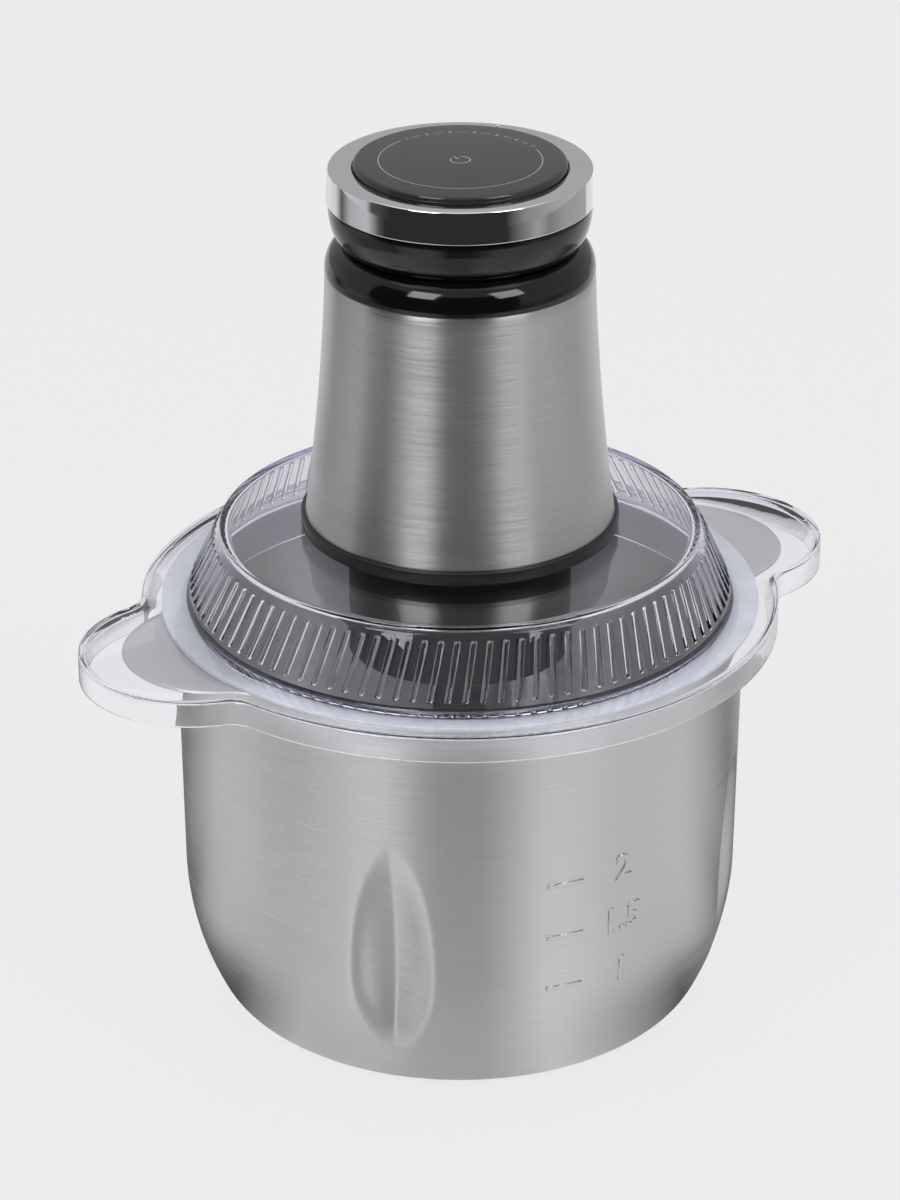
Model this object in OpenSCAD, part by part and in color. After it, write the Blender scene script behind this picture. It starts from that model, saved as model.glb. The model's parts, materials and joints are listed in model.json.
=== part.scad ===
// Electric food chopper: a pressed steel bowl, a clear ribbed lid with a silicone seal, a blade tower
// that turns on a pin in the bowl, and a motor unit that stands on the lid and drives the blades
// through a planetary gear. Origin at the middle of the bowl's base, +Z up, rim ears along X.

/* [Bowl] */
// Outer radius of the wall where the round bottom starts
bowl_r = 92.8; // [88:0.1:98]
// How far the wall leans out between there and the rim
bowl_flare = 1.1; // [0:0.1:2]
// Height of the bowl with its rim
bowl_h = 139.6; // [132:0.1:150]
// Height at which the straight wall turns into the round bottom
bowl_turn_z = 48; // [44:0.5:52]
// Radius of the corner between the round bottom and the flat base
bowl_corner_r = 12; // [8:0.5:16]
// Sheet thickness
bowl_wall = 0.8; // [0.6:0.1:1.2]
// Width of the flat rim outside the wall
rim_w = 4.1; // [3:0.1:5]
// Thickness of the folded rim
rim_t = 1.4; // [1:0.1:2]
// Radius of each rounded rim ear
bowl_ear_r = 33; // [28:0.5:36]
// How far the middle of each rim ear lies inside the rim's edge
bowl_ear_inset = 12.5; // [10:0.5:16]
// Number of food-turning dents pressed into the wall
dent_count = 4; // [2:1:6]
// Direction of the first dent, from the ears
dent_az = 49; // [30:1:60]
// Depth of a dent
dent_depth = 7; // [4:0.5:8]
// Width of a dent where it is deepest
dent_w = 22.5; // [16:0.5:28]
// Height of a dent's top above the turn of the wall
dent_reach = 42; // [30:1:50]

/* [Pivot pin] */
// Radius of the pin that the blade tower turns on
pin_r = 4; // [3:0.1:5]
// Length of the pin above its weld plate
pin_len = 76; // [60:1:85]
// Radius of the weld plate
weld_r = 16; // [12:0.5:20]
// Thickness of the weld plate
weld_t = 1.2; // [0.8:0.1:2]

/* [Lid] */
// How far the lid's flange reaches out past the bowl's rim
lid_out = 7; // [5:0.1:10]
// Depth of the skirt below the top of the flange
skirt_h = 9.5; // [7:0.5:12]
// Thickness of the flange, the skirt and the plug wall
lid_flange_t = 1.8; // [1.4:0.1:2.4]
// How much larger the radius of the lid's ears is than that of the rim's ears
lid_ear_margin = 5; // [4:0.5:7]
// How far the middle of each lid ear lies outside the middle of the rim ear below it
lid_ear_shift = 9.5; // [6:0.5:11]
// Radius of the hollow corners beside the ears
ear_fillet = 10; // [6:0.5:12]
// How far the sloped wall draws in from the flange to its top
lid_draw = 10.3; // [8:0.1:14]
// Height of the flat top plate above the flange
lid_rise = 24.5; // [22:0.5:27]
// Thickness of the sloped wall and the top plate
lid_t = 2.5; // [2:0.1:3]
// Radius of the rounded edge between wall and plate
lid_edge_r = 1.5; // [1:0.1:2]
// Number of slanted ribs round the wall
rib_count = 100; // [60:1:110]
// Width of a rib
rib_w = 2; // [1.4:0.1:2.4]
// How far a rib stands out of the wall
rib_h = 0.6; // [0.4:0.1:1]
// How far the top of a rib leans to the right of its foot, seen from outside
rib_lean = 4; // [0:0.5:5]
// Plain wall left above and below the ribs
rib_margin = 2.2; // [1.8:0.1:3]

/* [Lid seal] */
// How far the seal's flange reaches out past the bowl's rim
seal_out = 0.5; // [0:0.1:1.5]
// Thickness of the seal's flange
seal_t = 1.6; // [1.2:0.1:2.2]
// Wall thickness of the seal's plug
seal_plug_t = 3.7; // [3:0.1:5]
// Depth of the plug below the rim
plug_h = 10.6; // [8:0.2:13]
// How far the seal's two lips stand out
seal_lip = 0.5; // [0.3:0.1:0.6]

/* [Blade tower] */
// Outer radius of the moulded column
hub_r = 9; // [8:0.1:10]
// Radius of the foot that carries the lower blade
hub_foot_r = 15; // [13:0.5:18]
// Height of the lower blade's underside
lower_blade_z = 12; // [9:0.5:16]
// Height of the upper blade's underside
upper_blade_z = 52; // [44:0.5:60]
// Gap between the lower blade's tips and the bowl's wall
blade_gap = 5.5; // [4:0.5:12]
// How much shorter the wings of the upper blade are
blade_step = 7; // [4:0.5:14]
// Width of a blade at its root
blade_w = 22; // [18:0.5:26]
// Sheet thickness of the blades
blade_t = 1.5; // [1.2:0.1:2]
// Width of the ground bevel along the cutting edge
bevel_w = 3.5; // [2:0.1:5]
// Height of the nut that clamps the blades
clamp_h = 8; // [6:0.5:10]
// Radius of the finger flange under the drive head
grip_r = 13; // [11:0.5:16]
// Width across the flats of the hexagonal drive head
head_af = 14; // [12:0.1:15]
// Length of the drive head
head_len = 9; // [7:0.1:10]

/* [Motor unit shell] */
// Outer radius of the base ring that stands on the lid
base_r = 52; // [51.5:0.1:54]
// Height of the base ring with its foot
base_h = 5.5; // [5:0.1:7]
// Height of the foot under the base ring
foot_h = 1; // [0.6:0.1:1.4]
// Outer radius of the neck that hangs into the bowl
neck_r = 36.5; // [36:0.1:38]
// Depth of the neck below the top of the lid
neck_len = 41.5; // [41:0.1:43]
// Radius of the steel sleeve at its foot
sleeve_foot_r = 50.5; // [50:0.1:51]
// Radius of the steel sleeve at its top
sleeve_top_r = 43.2; // [42.5:0.1:45]
// Height of the steel sleeve
sleeve_h = 83; // [82:0.5:88]
// Sheet thickness of the steel sleeve
sleeve_t = 0.8; // [0.6:0.1:1]
// Height of the rounded shoulder above the sleeve
shoulder_h = 10; // [8:0.5:12]
// Radius of the waist between shoulder and cup
waist_r = 36.5; // [36:0.1:38]
// Height of the cup above the waist
cup_h = 13.3; // [12.8:0.1:14]
// Radius of the cup at its top
cup_r = 42; // [41:0.1:43]
// Wall thickness of the plastic shells
shell_t = 2; // [1.6:0.1:2.2]

/* [Controls] */
// Outer radius of the speed ring at its foot
ring_r = 42.5; // [42:0.1:44]
// Height of the speed ring
ring_h = 10.7; // [10.5:0.1:12]
// How far the speed ring's wall leans in towards its top
ring_lean = 0.6; // [0:0.1:1]
// Inner radius of the speed ring's flat top
ring_hole_r = 34.3; // [34:0.1:35]
// Direction of the pointer groove, from the ears
pointer_az = 45; // [0:1:90]
// How far the button stands above the speed ring
button_rise = 2.1; // [2:0.1:3]
// Travel of the button
button_travel = 2; // [1:0.1:2]
// Thickness of the button's plate
button_t = 2.5; // [2:0.1:3]
// Radius of the button's stem
stem_r = 3; // [2.5:0.1:3.5]

/* [Cord entry] */
// Radius of the hole for the cord
cord_r = 3.5; // [3:0.1:4]
// Wall thickness of the rubber bush round the cord
gland_t = 3; // [2:0.1:4]
// Height of the cord entry above the sleeve's foot
gland_up = 15; // [12:0.5:20]
// Direction of the cord entry, from the ears
gland_az = 55; // [40:1:70]

/* [Motor] */
// Radius of the rotor shaft
shaft_r = 3; // [2.5:0.1:3.2]
// Radius of the rotor's core
rotor_r = 18; // [16:0.1:19]
// Height of the rotor and stator stacks
stack_h = 26; // [22:0.5:28]
// Number of slots in the rotor
slot_count = 12; // [8:1:16]
// Air gap between rotor and stator
air_gap = 0.6; // [0.4:0.1:0.8]
// Width across the flats of the stator
stator_w = 58; // [56:0.5:60]
// Radius of the stator's corners from the axis
stator_corner_r = 39.5; // [38.5:0.1:40]
// Radius of the commutator
comm_r = 9.8; // [9:0.1:10.5]
// Number of commutator bars
bar_count = 24; // [12:1:30]
// Radius of the cooling fan
fan_r = 22; // [18:0.5:26]
// Number of fan blades
vane_count = 11; // [7:1:15]
// Outer radius of the two ball bearings
bearing_r = 9.5; // [9:0.1:10]
// Height of the two ball bearings
bearing_h = 6; // [5:0.1:6]

/* [Gearbox] */
// Module of the teeth
tooth_m = 1; // [0.98:0.01:1.02]
// Teeth of the sun pinion, a multiple of three
sun_teeth = 12; // [12:3:12]
// Teeth of each planet gear
planet_teeth = 24; // [24:3:24]
// Face width of the gears
gear_w = 11; // [9:0.5:11]
// Play between meshing teeth, on each side of a tooth
backlash = 0.1; // [0.08:0.01:0.15]
// Radius of the planet pins
planet_pin_r = 2.5; // [2:0.1:3]
// Radius of the output shaft
output_r = 6; // [5:0.1:6.5]
// Outer radius of the drive coupling
coupling_r = 13; // [12:0.1:13.4]

/* [Fits] */
// Clearance round pressed and seated round pieces
seat = 0.05; // [0.03:0.01:0.08]
// Radial clearance of a shaft in its bearing
running = 0.05; // [0.03:0.01:0.08]
// Clearance of loose pieces that slip into each other
slip = 0.3; // [0.2:0.05:0.4]

/* [Hidden] */
$fn = 96;

// Overlap of two shapes that are joined into one solid
join = 0.5;
// How far a hollow corner bites into the two arcs beside it, so that they cross and don't just touch
bite = 0.02;
// Number of straight steps in a curved outline
steps = 8;

// Bowl
turn_angle = asin((bowl_turn_z - bowl_corner_r) / (bowl_r - bowl_corner_r));
bowl_base_r = (bowl_r - bowl_corner_r) * cos(turn_angle);
rim_r = bowl_r + bowl_flare + rim_w;
bowl_ear_at = rim_r - bowl_ear_inset;
bowl_mouth_r = bowl_r + bowl_flare - bowl_wall;
dent_lean = bowl_flare * dent_reach / (bowl_h - bowl_turn_z);
wheel_r = (pow(dent_reach, 2) + pow(dent_depth + dent_lean, 2)) / (2 * (dent_depth + dent_lean));
wheel_at = bowl_r - dent_depth + wheel_r;
dent_sag = bowl_r - sqrt(pow(bowl_r, 2) - pow(dent_w / 2, 2));
dent_angle = atan(dent_w / 2 / (dent_depth - dent_sag));
pin_top = bowl_wall + weld_t + pin_len;
pin_ease = 1;

// Lid and seal
lid_r = rim_r + lid_out;
lid_ear_r = bowl_ear_r + lid_ear_margin;
lid_ear_at = bowl_ear_at + lid_ear_shift;
seal_r = rim_r + seal_out;
flange_z = bowl_h + seal_t;
flange_top = flange_z + lid_flange_t;
skirt_z = flange_top - skirt_h;
plate_top = flange_top + lid_rise;
plate_z = plate_top - lid_t;
plug_z = bowl_h - plug_h;
plug_r = bowl_mouth_r - slip - seal_lip;
seal_bore_r = plug_r - seal_plug_t;
lid_base_r = seal_bore_r + 0.6 * lid_flange_t;
lid_top_r = lid_base_r - lid_draw;
plug_wall_r = seal_bore_r - lid_flange_t - lid_t / 3;
lid_hole_r = neck_r + slip;
slope_w = lid_base_r - lid_top_r;
slope_h = plate_top - lid_edge_r - flange_top;
slope_angle = atan(slope_w / slope_h);
rib_len = sqrt(pow(slope_w, 2) + pow(slope_h, 2)) - 2 * rib_margin;

// Blade tower
hub_z = bowl_wall + weld_t + slip;
hub_bore_r = pin_r + running + 1.4;
clamp_z = upper_blade_z + blade_t;
lower_blade_r = bowl_base_r + bowl_corner_r - bowl_wall - blade_gap;
upper_blade_r = lower_blade_r - blade_step;

// Motor unit
unit_z = plate_top;
neck_z = unit_z - neck_len;
sleeve_z = unit_z + base_h;
sleeve_top = sleeve_z + sleeve_h;
floor_z = unit_z + foot_h;
floor_t = 3;
floor_top = floor_z + floor_t;
waist_z = sleeve_top + shoulder_h;
cup_top = waist_z + cup_h;
deck_t = 2;
deck_z = cup_top - 1.8;
deck_top = deck_z + deck_t;
ring_z = cup_top + 0.4;
ring_top = ring_z + ring_h;
seat_r = ring_hole_r - 1.9;
seat_top = ring_z + 5.5;
button_top = ring_top + button_rise;
button_r = ring_hole_r - 0.4;
button_z = button_top - button_t;
skirt_depth = 1.3;
retainer_t = 1;
clip_t = 0.8;
board_t = 1.6;
switch_top = deck_z - 2.6 - button_travel;

// Drive train heights, from the neck's floor upwards
recess_r = coupling_r + 2;
recess_wall = 2;
recess_top = neck_z + 18;
recess_floor_t = 3;
coupling_z = neck_z + 1;
coupling_top = recess_top - slip;
socket_h = head_len - 1;
socket_top = coupling_z + socket_h;
head_pocket = 2.6;
coupling_web = 1.4;
shaft_end = socket_top + head_pocket + coupling_web;
coupling_screw_len = 8;
bush_top = recess_top + recess_floor_t + 4.5;
carrier_z = bush_top + slip;
carrier_t = 3.5;
gear_z = carrier_z + carrier_t + slip;
gear_top = gear_z + gear_w;
cover_z = gear_top + slip;
cover_t = 3;
bearing_z = cover_z + cover_t;
stack_z = bearing_z + bearing_h + 17;
stack_top = stack_z + stack_h;
coil_head = 5;
coil_t = 6;
coil_reach = 52;
coil_window = 38;
comm_z = stack_top + 7;
comm_h = 11;
bracket_z = comm_z + comm_h + 1.5;
bracket_t = 3;
upper_bearing_z = bracket_z + bracket_t - 1;
post_at = 25;
post_r = 3.8;
screw_r = 1.5;
small_screw_r = 1;
boss_at = 40;
boss_h = 7;
counterbore_h = 1.8;
housing_screw_len = 6.5;
fan_z = bearing_z + bearing_h + 2;
board_z = sleeve_top - 7;
board_r = sleeve_top_r - 2 * shell_t - 1;
board_post_at = board_r - 7;
control_z = switch_top - 4;
control_r = waist_r - shell_t - 3;
retainer_at = seat_r - 5;
hub_top = coupling_z + socket_h - 0.5;
grip_z = hub_top - head_len - 6;

// Brush gear, beside the middle of the commutator
brush_mid = comm_z + comm_h / 2;
brush_w = 5;
brush_h = 7;
brush_len = 11;
brush_at = comm_r - 1;
holder_at = comm_r + 1.5;
holder_len = 18;
holder_wall = 1.2;
holder_end = holder_at + holder_len - holder_wall;

// Blade wings: root corners, sweep of the tip, and arc radii as shares of the tip's radius
wing_root = [hub_foot_r - 4, blade_w / 2];
wing_heel = [hub_foot_r - 4, -blade_w / 2];
wing_sweep = 12;
wing_front = 0.95;
wing_back = 1.15;

// Gears
sun_r = tooth_m * sun_teeth / 2;
planet_r = tooth_m * planet_teeth / 2;
orbit_r = sun_r + planet_r;
ring_teeth = sun_teeth + 2 * planet_teeth;
ring_pitch_r = tooth_m * ring_teeth / 2;
addendum = 0.85 * tooth_m;
dedendum = 1.1 * tooth_m;
press_angle = 20;
gearbox_r = neck_r - 2.5;
ledge_r = gearbox_r - 2.2;

// Points on an elliptical arc round a middle point
function arc(mx, my, rx, ry, a0, a1, n = steps) =
    [for (i = [0:n]) let (a = a0 + (a1 - a0) * i / n) [mx + rx * cos(a), my + ry * sin(a)]];
// Radius of the sleeve's outside at a height: a curve that flares out towards its foot
function sleeve_r(z) = let (u = (sleeve_top - z) / sleeve_h)
    sleeve_top_r + (sleeve_foot_r - sleeve_top_r) * (0.39 * u + 0.61 * u * u);
// Middle of the circle of radius r that passes through p and q, on the right of the line from p to q
function circle_mid(p, q, r) = let (m = (p + q) / 2, d = q - p, len = norm(d), h = sqrt(r * r - len * len / 4))
    m + h * [d[1], -d[0]] / len;
// Middle of a fillet of radius f that touches a circle of radius a at the origin and one of radius b at [d, 0]
function fillet_mid(a, b, d, f) = let (x = (pow(a + f, 2) - pow(b + f, 2) + d * d) / (2 * d))
    [x, sqrt(pow(a + f, 2) - x * x)];
// Angle of the involute at radius r on a base circle
function inv_angle(base, r) = let (t = sqrt(max(0, pow(r / base, 2) - 1))) t * 180 / PI - atan(t);

// Outline of the round rim with its two ears and the hollow corners between them
module eared_disc(r, ear_r, ear_at, fillet) {
    f = fillet_mid(r, ear_r, ear_at, fillet);
    circle(r);
    for (side = [0, 180]) rotate(side) {
        translate([ear_at, 0]) circle(ear_r);
        difference() {
            polygon([[0, 0], f, [ear_at, 0], [f[0], -f[1]]]);
            for (s = [-1, 1]) translate([f[0], s * f[1]]) circle(fillet + bite);
        }
    }
}

// Closed coil of round wire along +Z with ground ends left open
module coil(r, wire, length, turns, sides = 6, per_turn = 14) {
    n = turns * per_turn;
    ring = [for (i = [0:n], k = [0:sides - 1])
        let (a = 360 * i / per_turn, b = 360 * k / sides, rr = r + wire / 2 * cos(b))
        [rr * cos(a), rr * sin(a), wire / 2 + (length - wire) * i / n + wire / 2 * sin(b)]];
    first = [for (k = [0:sides - 1]) k];
    last = [for (k = [sides - 1:-1:0]) n * sides + k];
    walls = [for (i = [0:n - 1], k = [0:sides - 1])
        let (j = (k + 1) % sides) [i * sides + k, (i + 1) * sides + k, (i + 1) * sides + j, i * sides + j]];
    polyhedron(ring, concat([first], walls, [last]));
}

// Outline of a spur gear with involute teeth, one tooth pointing along +X
module gear_outline(teeth, tip_r, root_r, thin) {
    pitch_r = tooth_m * teeth / 2;
    base = pitch_r * cos(press_angle);
    half = 90 / teeth + inv_angle(base, pitch_r) - thin / pitch_r * 180 / PI;
    low = max(root_r, base);
    flank = [for (i = [0:4]) let (r = low + (tip_r - low) * i / 4) [r, half - inv_angle(base, r)]];
    side = concat([[root_r, half]], flank);
    polygon([for (t = [0:teeth - 1], s = [-1, 1], i = [0:5])
        let (p = s < 0 ? side[i] : side[5 - i], a = 360 * t / teeth + s * p[1]) p[0] * [cos(a), sin(a)]]);
}

// Places children at the four long screws of the motor
module at_posts(z) {
    for (x = [-post_at, post_at], y = [-post_at, post_at]) translate([x, y, z]) children();
}

// Places children at the four screws of the gearbox cover
module at_bosses(z) {
    for (i = [0:3]) rotate(90 * i) translate([boss_at, 0, z]) children();
}

// Places children at three points of a circle
module at_three(r, z) {
    for (i = [0:2]) rotate(120 * i) translate([r, 0, z]) children();
}

// Round screw that points down from the underside of its head
module screw(r, length, head_r, head_h) {
    translate([0, 0, -length]) cylinder(r = r, h = length + head_h / 2);
    difference() {
        cylinder(r = head_r, h = head_h);
        for (a = [0, 90]) rotate(a)
            translate([-head_r * 0.6, -0.4, head_h / 2]) cube([head_r * 1.2, 0.8, head_h]);
    }
}

// Filled section of the bowl, drawn in from the outside by a thickness
module bowl_section(inset) {
    translate([0, inset]) square([bowl_base_r, bowl_turn_z]);
    translate([bowl_base_r, bowl_corner_r]) circle(bowl_corner_r - inset);
    intersection() {
        translate([0, bowl_turn_z]) circle(bowl_r - inset);
        polygon([[0, bowl_turn_z], [2 * bowl_r, bowl_turn_z],
                 [2 * bowl_r, bowl_turn_z - 2 * bowl_r * tan(turn_angle)]]);
    }
    polygon([[0, bowl_turn_z - join], [bowl_r - inset - 2 * join, bowl_turn_z - join],
             [bowl_r - inset, bowl_turn_z], [bowl_r + bowl_flare - inset, bowl_h], [0, bowl_h]]);
}

// The wheels with a V edge that press the dents, grown by the sheet thickness for the inside
module dent_wheels(grow) {
    edge = wheel_r + grow / sin(dent_angle);
    back = 2 * dent_depth + 4;
    for (i = [0:dent_count - 1]) rotate(dent_az + 360 * i / dent_count)
        translate([wheel_at, 0, bowl_turn_z]) rotate([90, 0, 0]) rotate_extrude($fn = 180)
            polygon([[edge - back, -back * tan(dent_angle)], [edge, 0], [edge - back, back * tan(dent_angle)]]);
}

// Pressed bowl with four dents, a folded flat rim and two rim ears
module bowl() {
    color([0.72, 0.72, 0.71]) difference() {
        union() {
            difference() {
                rotate_extrude() intersection() {
                    bowl_section(0);
                    square([2 * bowl_r, 2 * bowl_h]);
                }
                dent_wheels(0);
            }
            translate([0, 0, bowl_h - rim_t]) linear_extrude(rim_t)
                eared_disc(rim_r, bowl_ear_r, bowl_ear_at, ear_fillet);
        }
        difference() {
            rotate_extrude() intersection() {
                union() {
                    bowl_section(bowl_wall);
                    translate([0, bowl_h - join]) square([bowl_mouth_r, 2 * join]);
                }
                square([2 * bowl_r, 2 * bowl_h]);
            }
            dent_wheels(bowl_wall);
        }
    }
}

// Steel pin with a domed end on a plate that is spot-welded to the bowl's floor
module pivot_pin() {
    color([0.76, 0.76, 0.77]) translate([0, 0, bowl_wall]) rotate_extrude()
        polygon(concat([[0, 0], [weld_r, 0], [weld_r, weld_t / 2], [weld_r - weld_t / 2, weld_t],
                        [pin_r + pin_ease, weld_t], [pin_r, weld_t + pin_ease]],
                       arc(0, weld_t + pin_len - pin_r / 2, pin_r, pin_r / 2, 0, 90)));
}

// One rib: a flat bar with round ends that lies on the sloped wall
module lid_rib() {
    translate([(lid_base_r + lid_top_r) / 2, 0, flange_top + slope_h / 2])
        rotate([0, 90 - slope_angle, 0]) rotate([0, 0, -atan(rib_lean / rib_len)])
            translate([0, 0, -lid_t / 2]) linear_extrude(lid_t / 2 + rib_h) {
                square([rib_len - rib_w, rib_w], center = true);
                for (s = [-1, 1]) translate([s * (rib_len - rib_w) / 2, 0]) circle(rib_w / 2, $fn = 24);
            }
}

// Clear lid: eared flange with a skirt, sloped ribbed wall, flat top plate with the hole for the neck
module lid() {
    inner_base_r = lid_base_r - lid_t / cos(slope_angle);
    inner_top_r = lid_top_r - lid_t / cos(slope_angle);
    color([0.86, 0.88, 0.92, 0.35]) {
        rotate_extrude() polygon(concat(
            [[lid_hole_r, plate_z], [lid_hole_r, plate_top]],
            arc(lid_top_r - lid_edge_r, plate_top - lid_edge_r, lid_edge_r, lid_edge_r, 90, 0),
            [[lid_base_r, flange_top], [seal_bore_r + 2 * join, flange_z + join],
             [seal_bore_r, flange_z], [seal_bore_r, plug_z],
             [plug_wall_r, plug_z], [plug_wall_r, flange_z], [inner_base_r, flange_top],
             [inner_top_r, plate_z]]));
        difference() {
            translate([0, 0, skirt_z]) linear_extrude(skirt_h)
                eared_disc(lid_r, lid_ear_r, lid_ear_at, ear_fillet);
            translate([0, 0, skirt_z - join]) linear_extrude(skirt_h - lid_flange_t + join)
                eared_disc(lid_r - lid_flange_t, lid_ear_r - lid_flange_t, lid_ear_at,
                           ear_fillet + lid_flange_t);
            cylinder(r = seal_bore_r - join, h = 2 * plate_top, center = true);
        }
        for (i = [0:rib_count - 1]) rotate(360 * i / rib_count) lid_rib();
    }
}

// Silicone seal: a flange between the two rims and a plug with two lips inside the bowl's mouth
module lid_seal() {
    lip_h = 1.4;
    color([0.80, 0.82, 0.84]) rotate_extrude()
        polygon([[seal_bore_r + seat, plug_z], [plug_r, plug_z],
                 [plug_r, plug_z + lip_h], [plug_r + seal_lip, plug_z + 1.5 * lip_h],
                 [plug_r, plug_z + 2 * lip_h], [plug_r, plug_z + 4 * lip_h],
                 [plug_r + seal_lip, plug_z + 4.5 * lip_h], [plug_r, plug_z + 5 * lip_h],
                 [plug_r, bowl_h], [seal_r, bowl_h], [seal_r, flange_z], [seal_bore_r + seat, flange_z]]);
}

// Moulded column: foot, column for the blades, finger flange and hexagonal drive head
module blade_hub() {
    foot_h = lower_blade_z - hub_z;
    color([0.16, 0.16, 0.17]) difference() {
        union() {
            rotate_extrude() polygon([
                [0, hub_z], [hub_foot_r - 3, hub_z], [hub_foot_r, hub_z + foot_h / 2],
                [hub_foot_r, lower_blade_z], [hub_r, lower_blade_z], [hub_r, grip_z], [grip_r, grip_z + 3],
                [grip_r, grip_z + 5], [hub_r, grip_z + 6], [0, grip_z + 6]]);
            translate([0, 0, grip_z + 6 - join])
                cylinder(d = head_af / cos(30), h = hub_top - grip_z - 6 + join, $fn = 6);
        }
        translate([0, 0, hub_z - 1]) cylinder(r = hub_bore_r, h = pin_top + slip - hub_z + 1);
        for (s = [-1, 1]) translate([s * hub_r, 0, (clamp_z + clamp_h + grip_z) / 2])
            cube([2, 4, grip_z - clamp_z - clamp_h - 12], center = true);
    }
}

// Brass bush pressed into the column; it runs on the pin, above the slope at the pin's foot
module hub_bush() {
    color([0.72, 0.56, 0.28]) translate([0, 0, hub_z + pin_ease]) difference() {
        cylinder(r = hub_bore_r - seat, h = pin_top - hub_z - pin_ease - pin_r);
        translate([0, 0, -1]) cylinder(r = pin_r + running, h = pin_top);
    }
}

// One wing of a blade: a crescent between two arcs that meet at the tip
module wing(tip) {
    point = tip * [cos(wing_sweep), -sin(wing_sweep)];
    front_r = wing_front * tip;
    back_r = wing_back * tip;
    difference() {
        intersection() {
            translate(circle_mid(wing_root, point, front_r)) circle(front_r);
            translate([0, -tip]) square([tip, 2 * tip]);
        }
        translate(circle_mid(wing_heel, point, back_r)) circle(back_r);
    }
}

// Steel blade with two crescent wings, ground to a bevel along the leading edges
module blade(tip) {
    point = tip * [cos(wing_sweep), -sin(wing_sweep)];
    front_r = wing_front * tip;
    difference() {
        linear_extrude(blade_t) difference() {
            union() {
                circle(hub_foot_r);
                for (a = [0, 180]) rotate(a) wing(tip);
            }
            circle(hub_r + seat);
        }
        for (a = [0, 180]) rotate(a) intersection() {
            translate(circle_mid(wing_root, point, front_r)) rotate_extrude($fn = 180)
                polygon([[front_r - bevel_w, blade_t + 0.01], [front_r + 1, blade_t + 0.01],
                         [front_r + 1, 0.2 - blade_t / bevel_w], [front_r, 0.2]]);
            translate([hub_foot_r + 2, -tip, -1]) cube([tip, 2 * tip, 4]);
        }
    }
}

module lower_blade() {
    color([0.78, 0.78, 0.79]) translate([0, 0, lower_blade_z]) blade(lower_blade_r);
}

// Plastic tube that holds the two blades apart
module blade_spacer() {
    tube_h = upper_blade_z - lower_blade_z - blade_t;
    color([0.16, 0.16, 0.17]) translate([0, 0, lower_blade_z + blade_t])
        rotate_extrude() polygon([
            [hub_r + seat, 0], [hub_foot_r, 0], [hub_foot_r, 2], [hub_r + 3, 5], [hub_r + 3, tube_h - 5],
            [hub_foot_r, tube_h - 2], [hub_foot_r, tube_h], [hub_r + seat, tube_h]]);
}

module upper_blade() {
    color([0.78, 0.78, 0.79]) translate([0, 0, upper_blade_z]) rotate(90) blade(upper_blade_r);
}

// Round nut with finger notches that clamps the blades
module blade_nut() {
    color([0.16, 0.16, 0.17]) translate([0, 0, clamp_z]) difference() {
        cylinder(r1 = hub_foot_r, r2 = hub_foot_r - 1.5, h = clamp_h);
        translate([0, 0, -1]) cylinder(r = hub_r + seat, h = clamp_h + 2);
        for (i = [0:5]) rotate(60 * i) translate([hub_foot_r + 1, 0, -1])
            cylinder(r = 2.5, h = clamp_h + 2, $fn = 24);
    }
}

// Black moulding: base ring with foot, floor, and the neck with the gearbox and the coupling's recess
module base_housing() {
    upstand_r = sleeve_r(sleeve_z + 4) - sleeve_t - slip;
    color([0.07, 0.07, 0.07]) difference() {
        rotate_extrude() polygon([
            [recess_r, neck_z], [neck_r - 1, neck_z], [neck_r, neck_z + 1], [neck_r, floor_z],
            [neck_r + 7.5, floor_z], [neck_r + 7.5, unit_z], [neck_r + 12.5, unit_z], [neck_r + 12.5, floor_z],
            [base_r - 0.5, floor_z], [base_r, floor_z + 0.5], [base_r, sleeve_z - 0.8],
            [base_r - 0.8, sleeve_z], [upstand_r, sleeve_z], [upstand_r, sleeve_z + 4],
            [upstand_r - 2, sleeve_z + 4], [upstand_r - 2, floor_top], [gearbox_r, floor_top],
            [gearbox_r, gear_z - slip], [ledge_r, gear_z - slip],
            [ledge_r, neck_z + 2.5], [recess_r + recess_wall, neck_z + 2.5],
            [recess_r + recess_wall, recess_top + recess_floor_t],
            [output_r + 5.5, recess_top + recess_floor_t], [output_r + 5.5, bush_top],
            [output_r + 3, bush_top], [output_r + 3, recess_top], [recess_r, recess_top]]);
        at_bosses(floor_z - 1) {
            cylinder(r = screw_r + 0.2, h = floor_t + 2, $fn = 32);
            cylinder(r = 3, h = counterbore_h + 1, $fn = 32);
        }
    }
}

// Ring-shaped slice between the sleeve's outside and its inside, grown on both faces
module sleeve_section(grow) {
    heights = [for (i = [0:steps]) sleeve_z + sleeve_h * i / steps];
    polygon(concat([for (z = heights) [sleeve_r(z) + grow, z]],
                   [for (i = [steps:-1:0]) [sleeve_r(heights[i]) - sleeve_t - grow, heights[i]]]));
}

// Brushed steel sleeve with the hole for the cord entry
module steel_sleeve() {
    color([0.68, 0.68, 0.68]) difference() {
        rotate_extrude() sleeve_section(0);
        rotate(gland_az) translate([0, 0, sleeve_z + gland_up]) rotate([0, 90, 0])
            cylinder(r = cord_r + gland_t + seat, h = sleeve_foot_r + join);
    }
}

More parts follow.
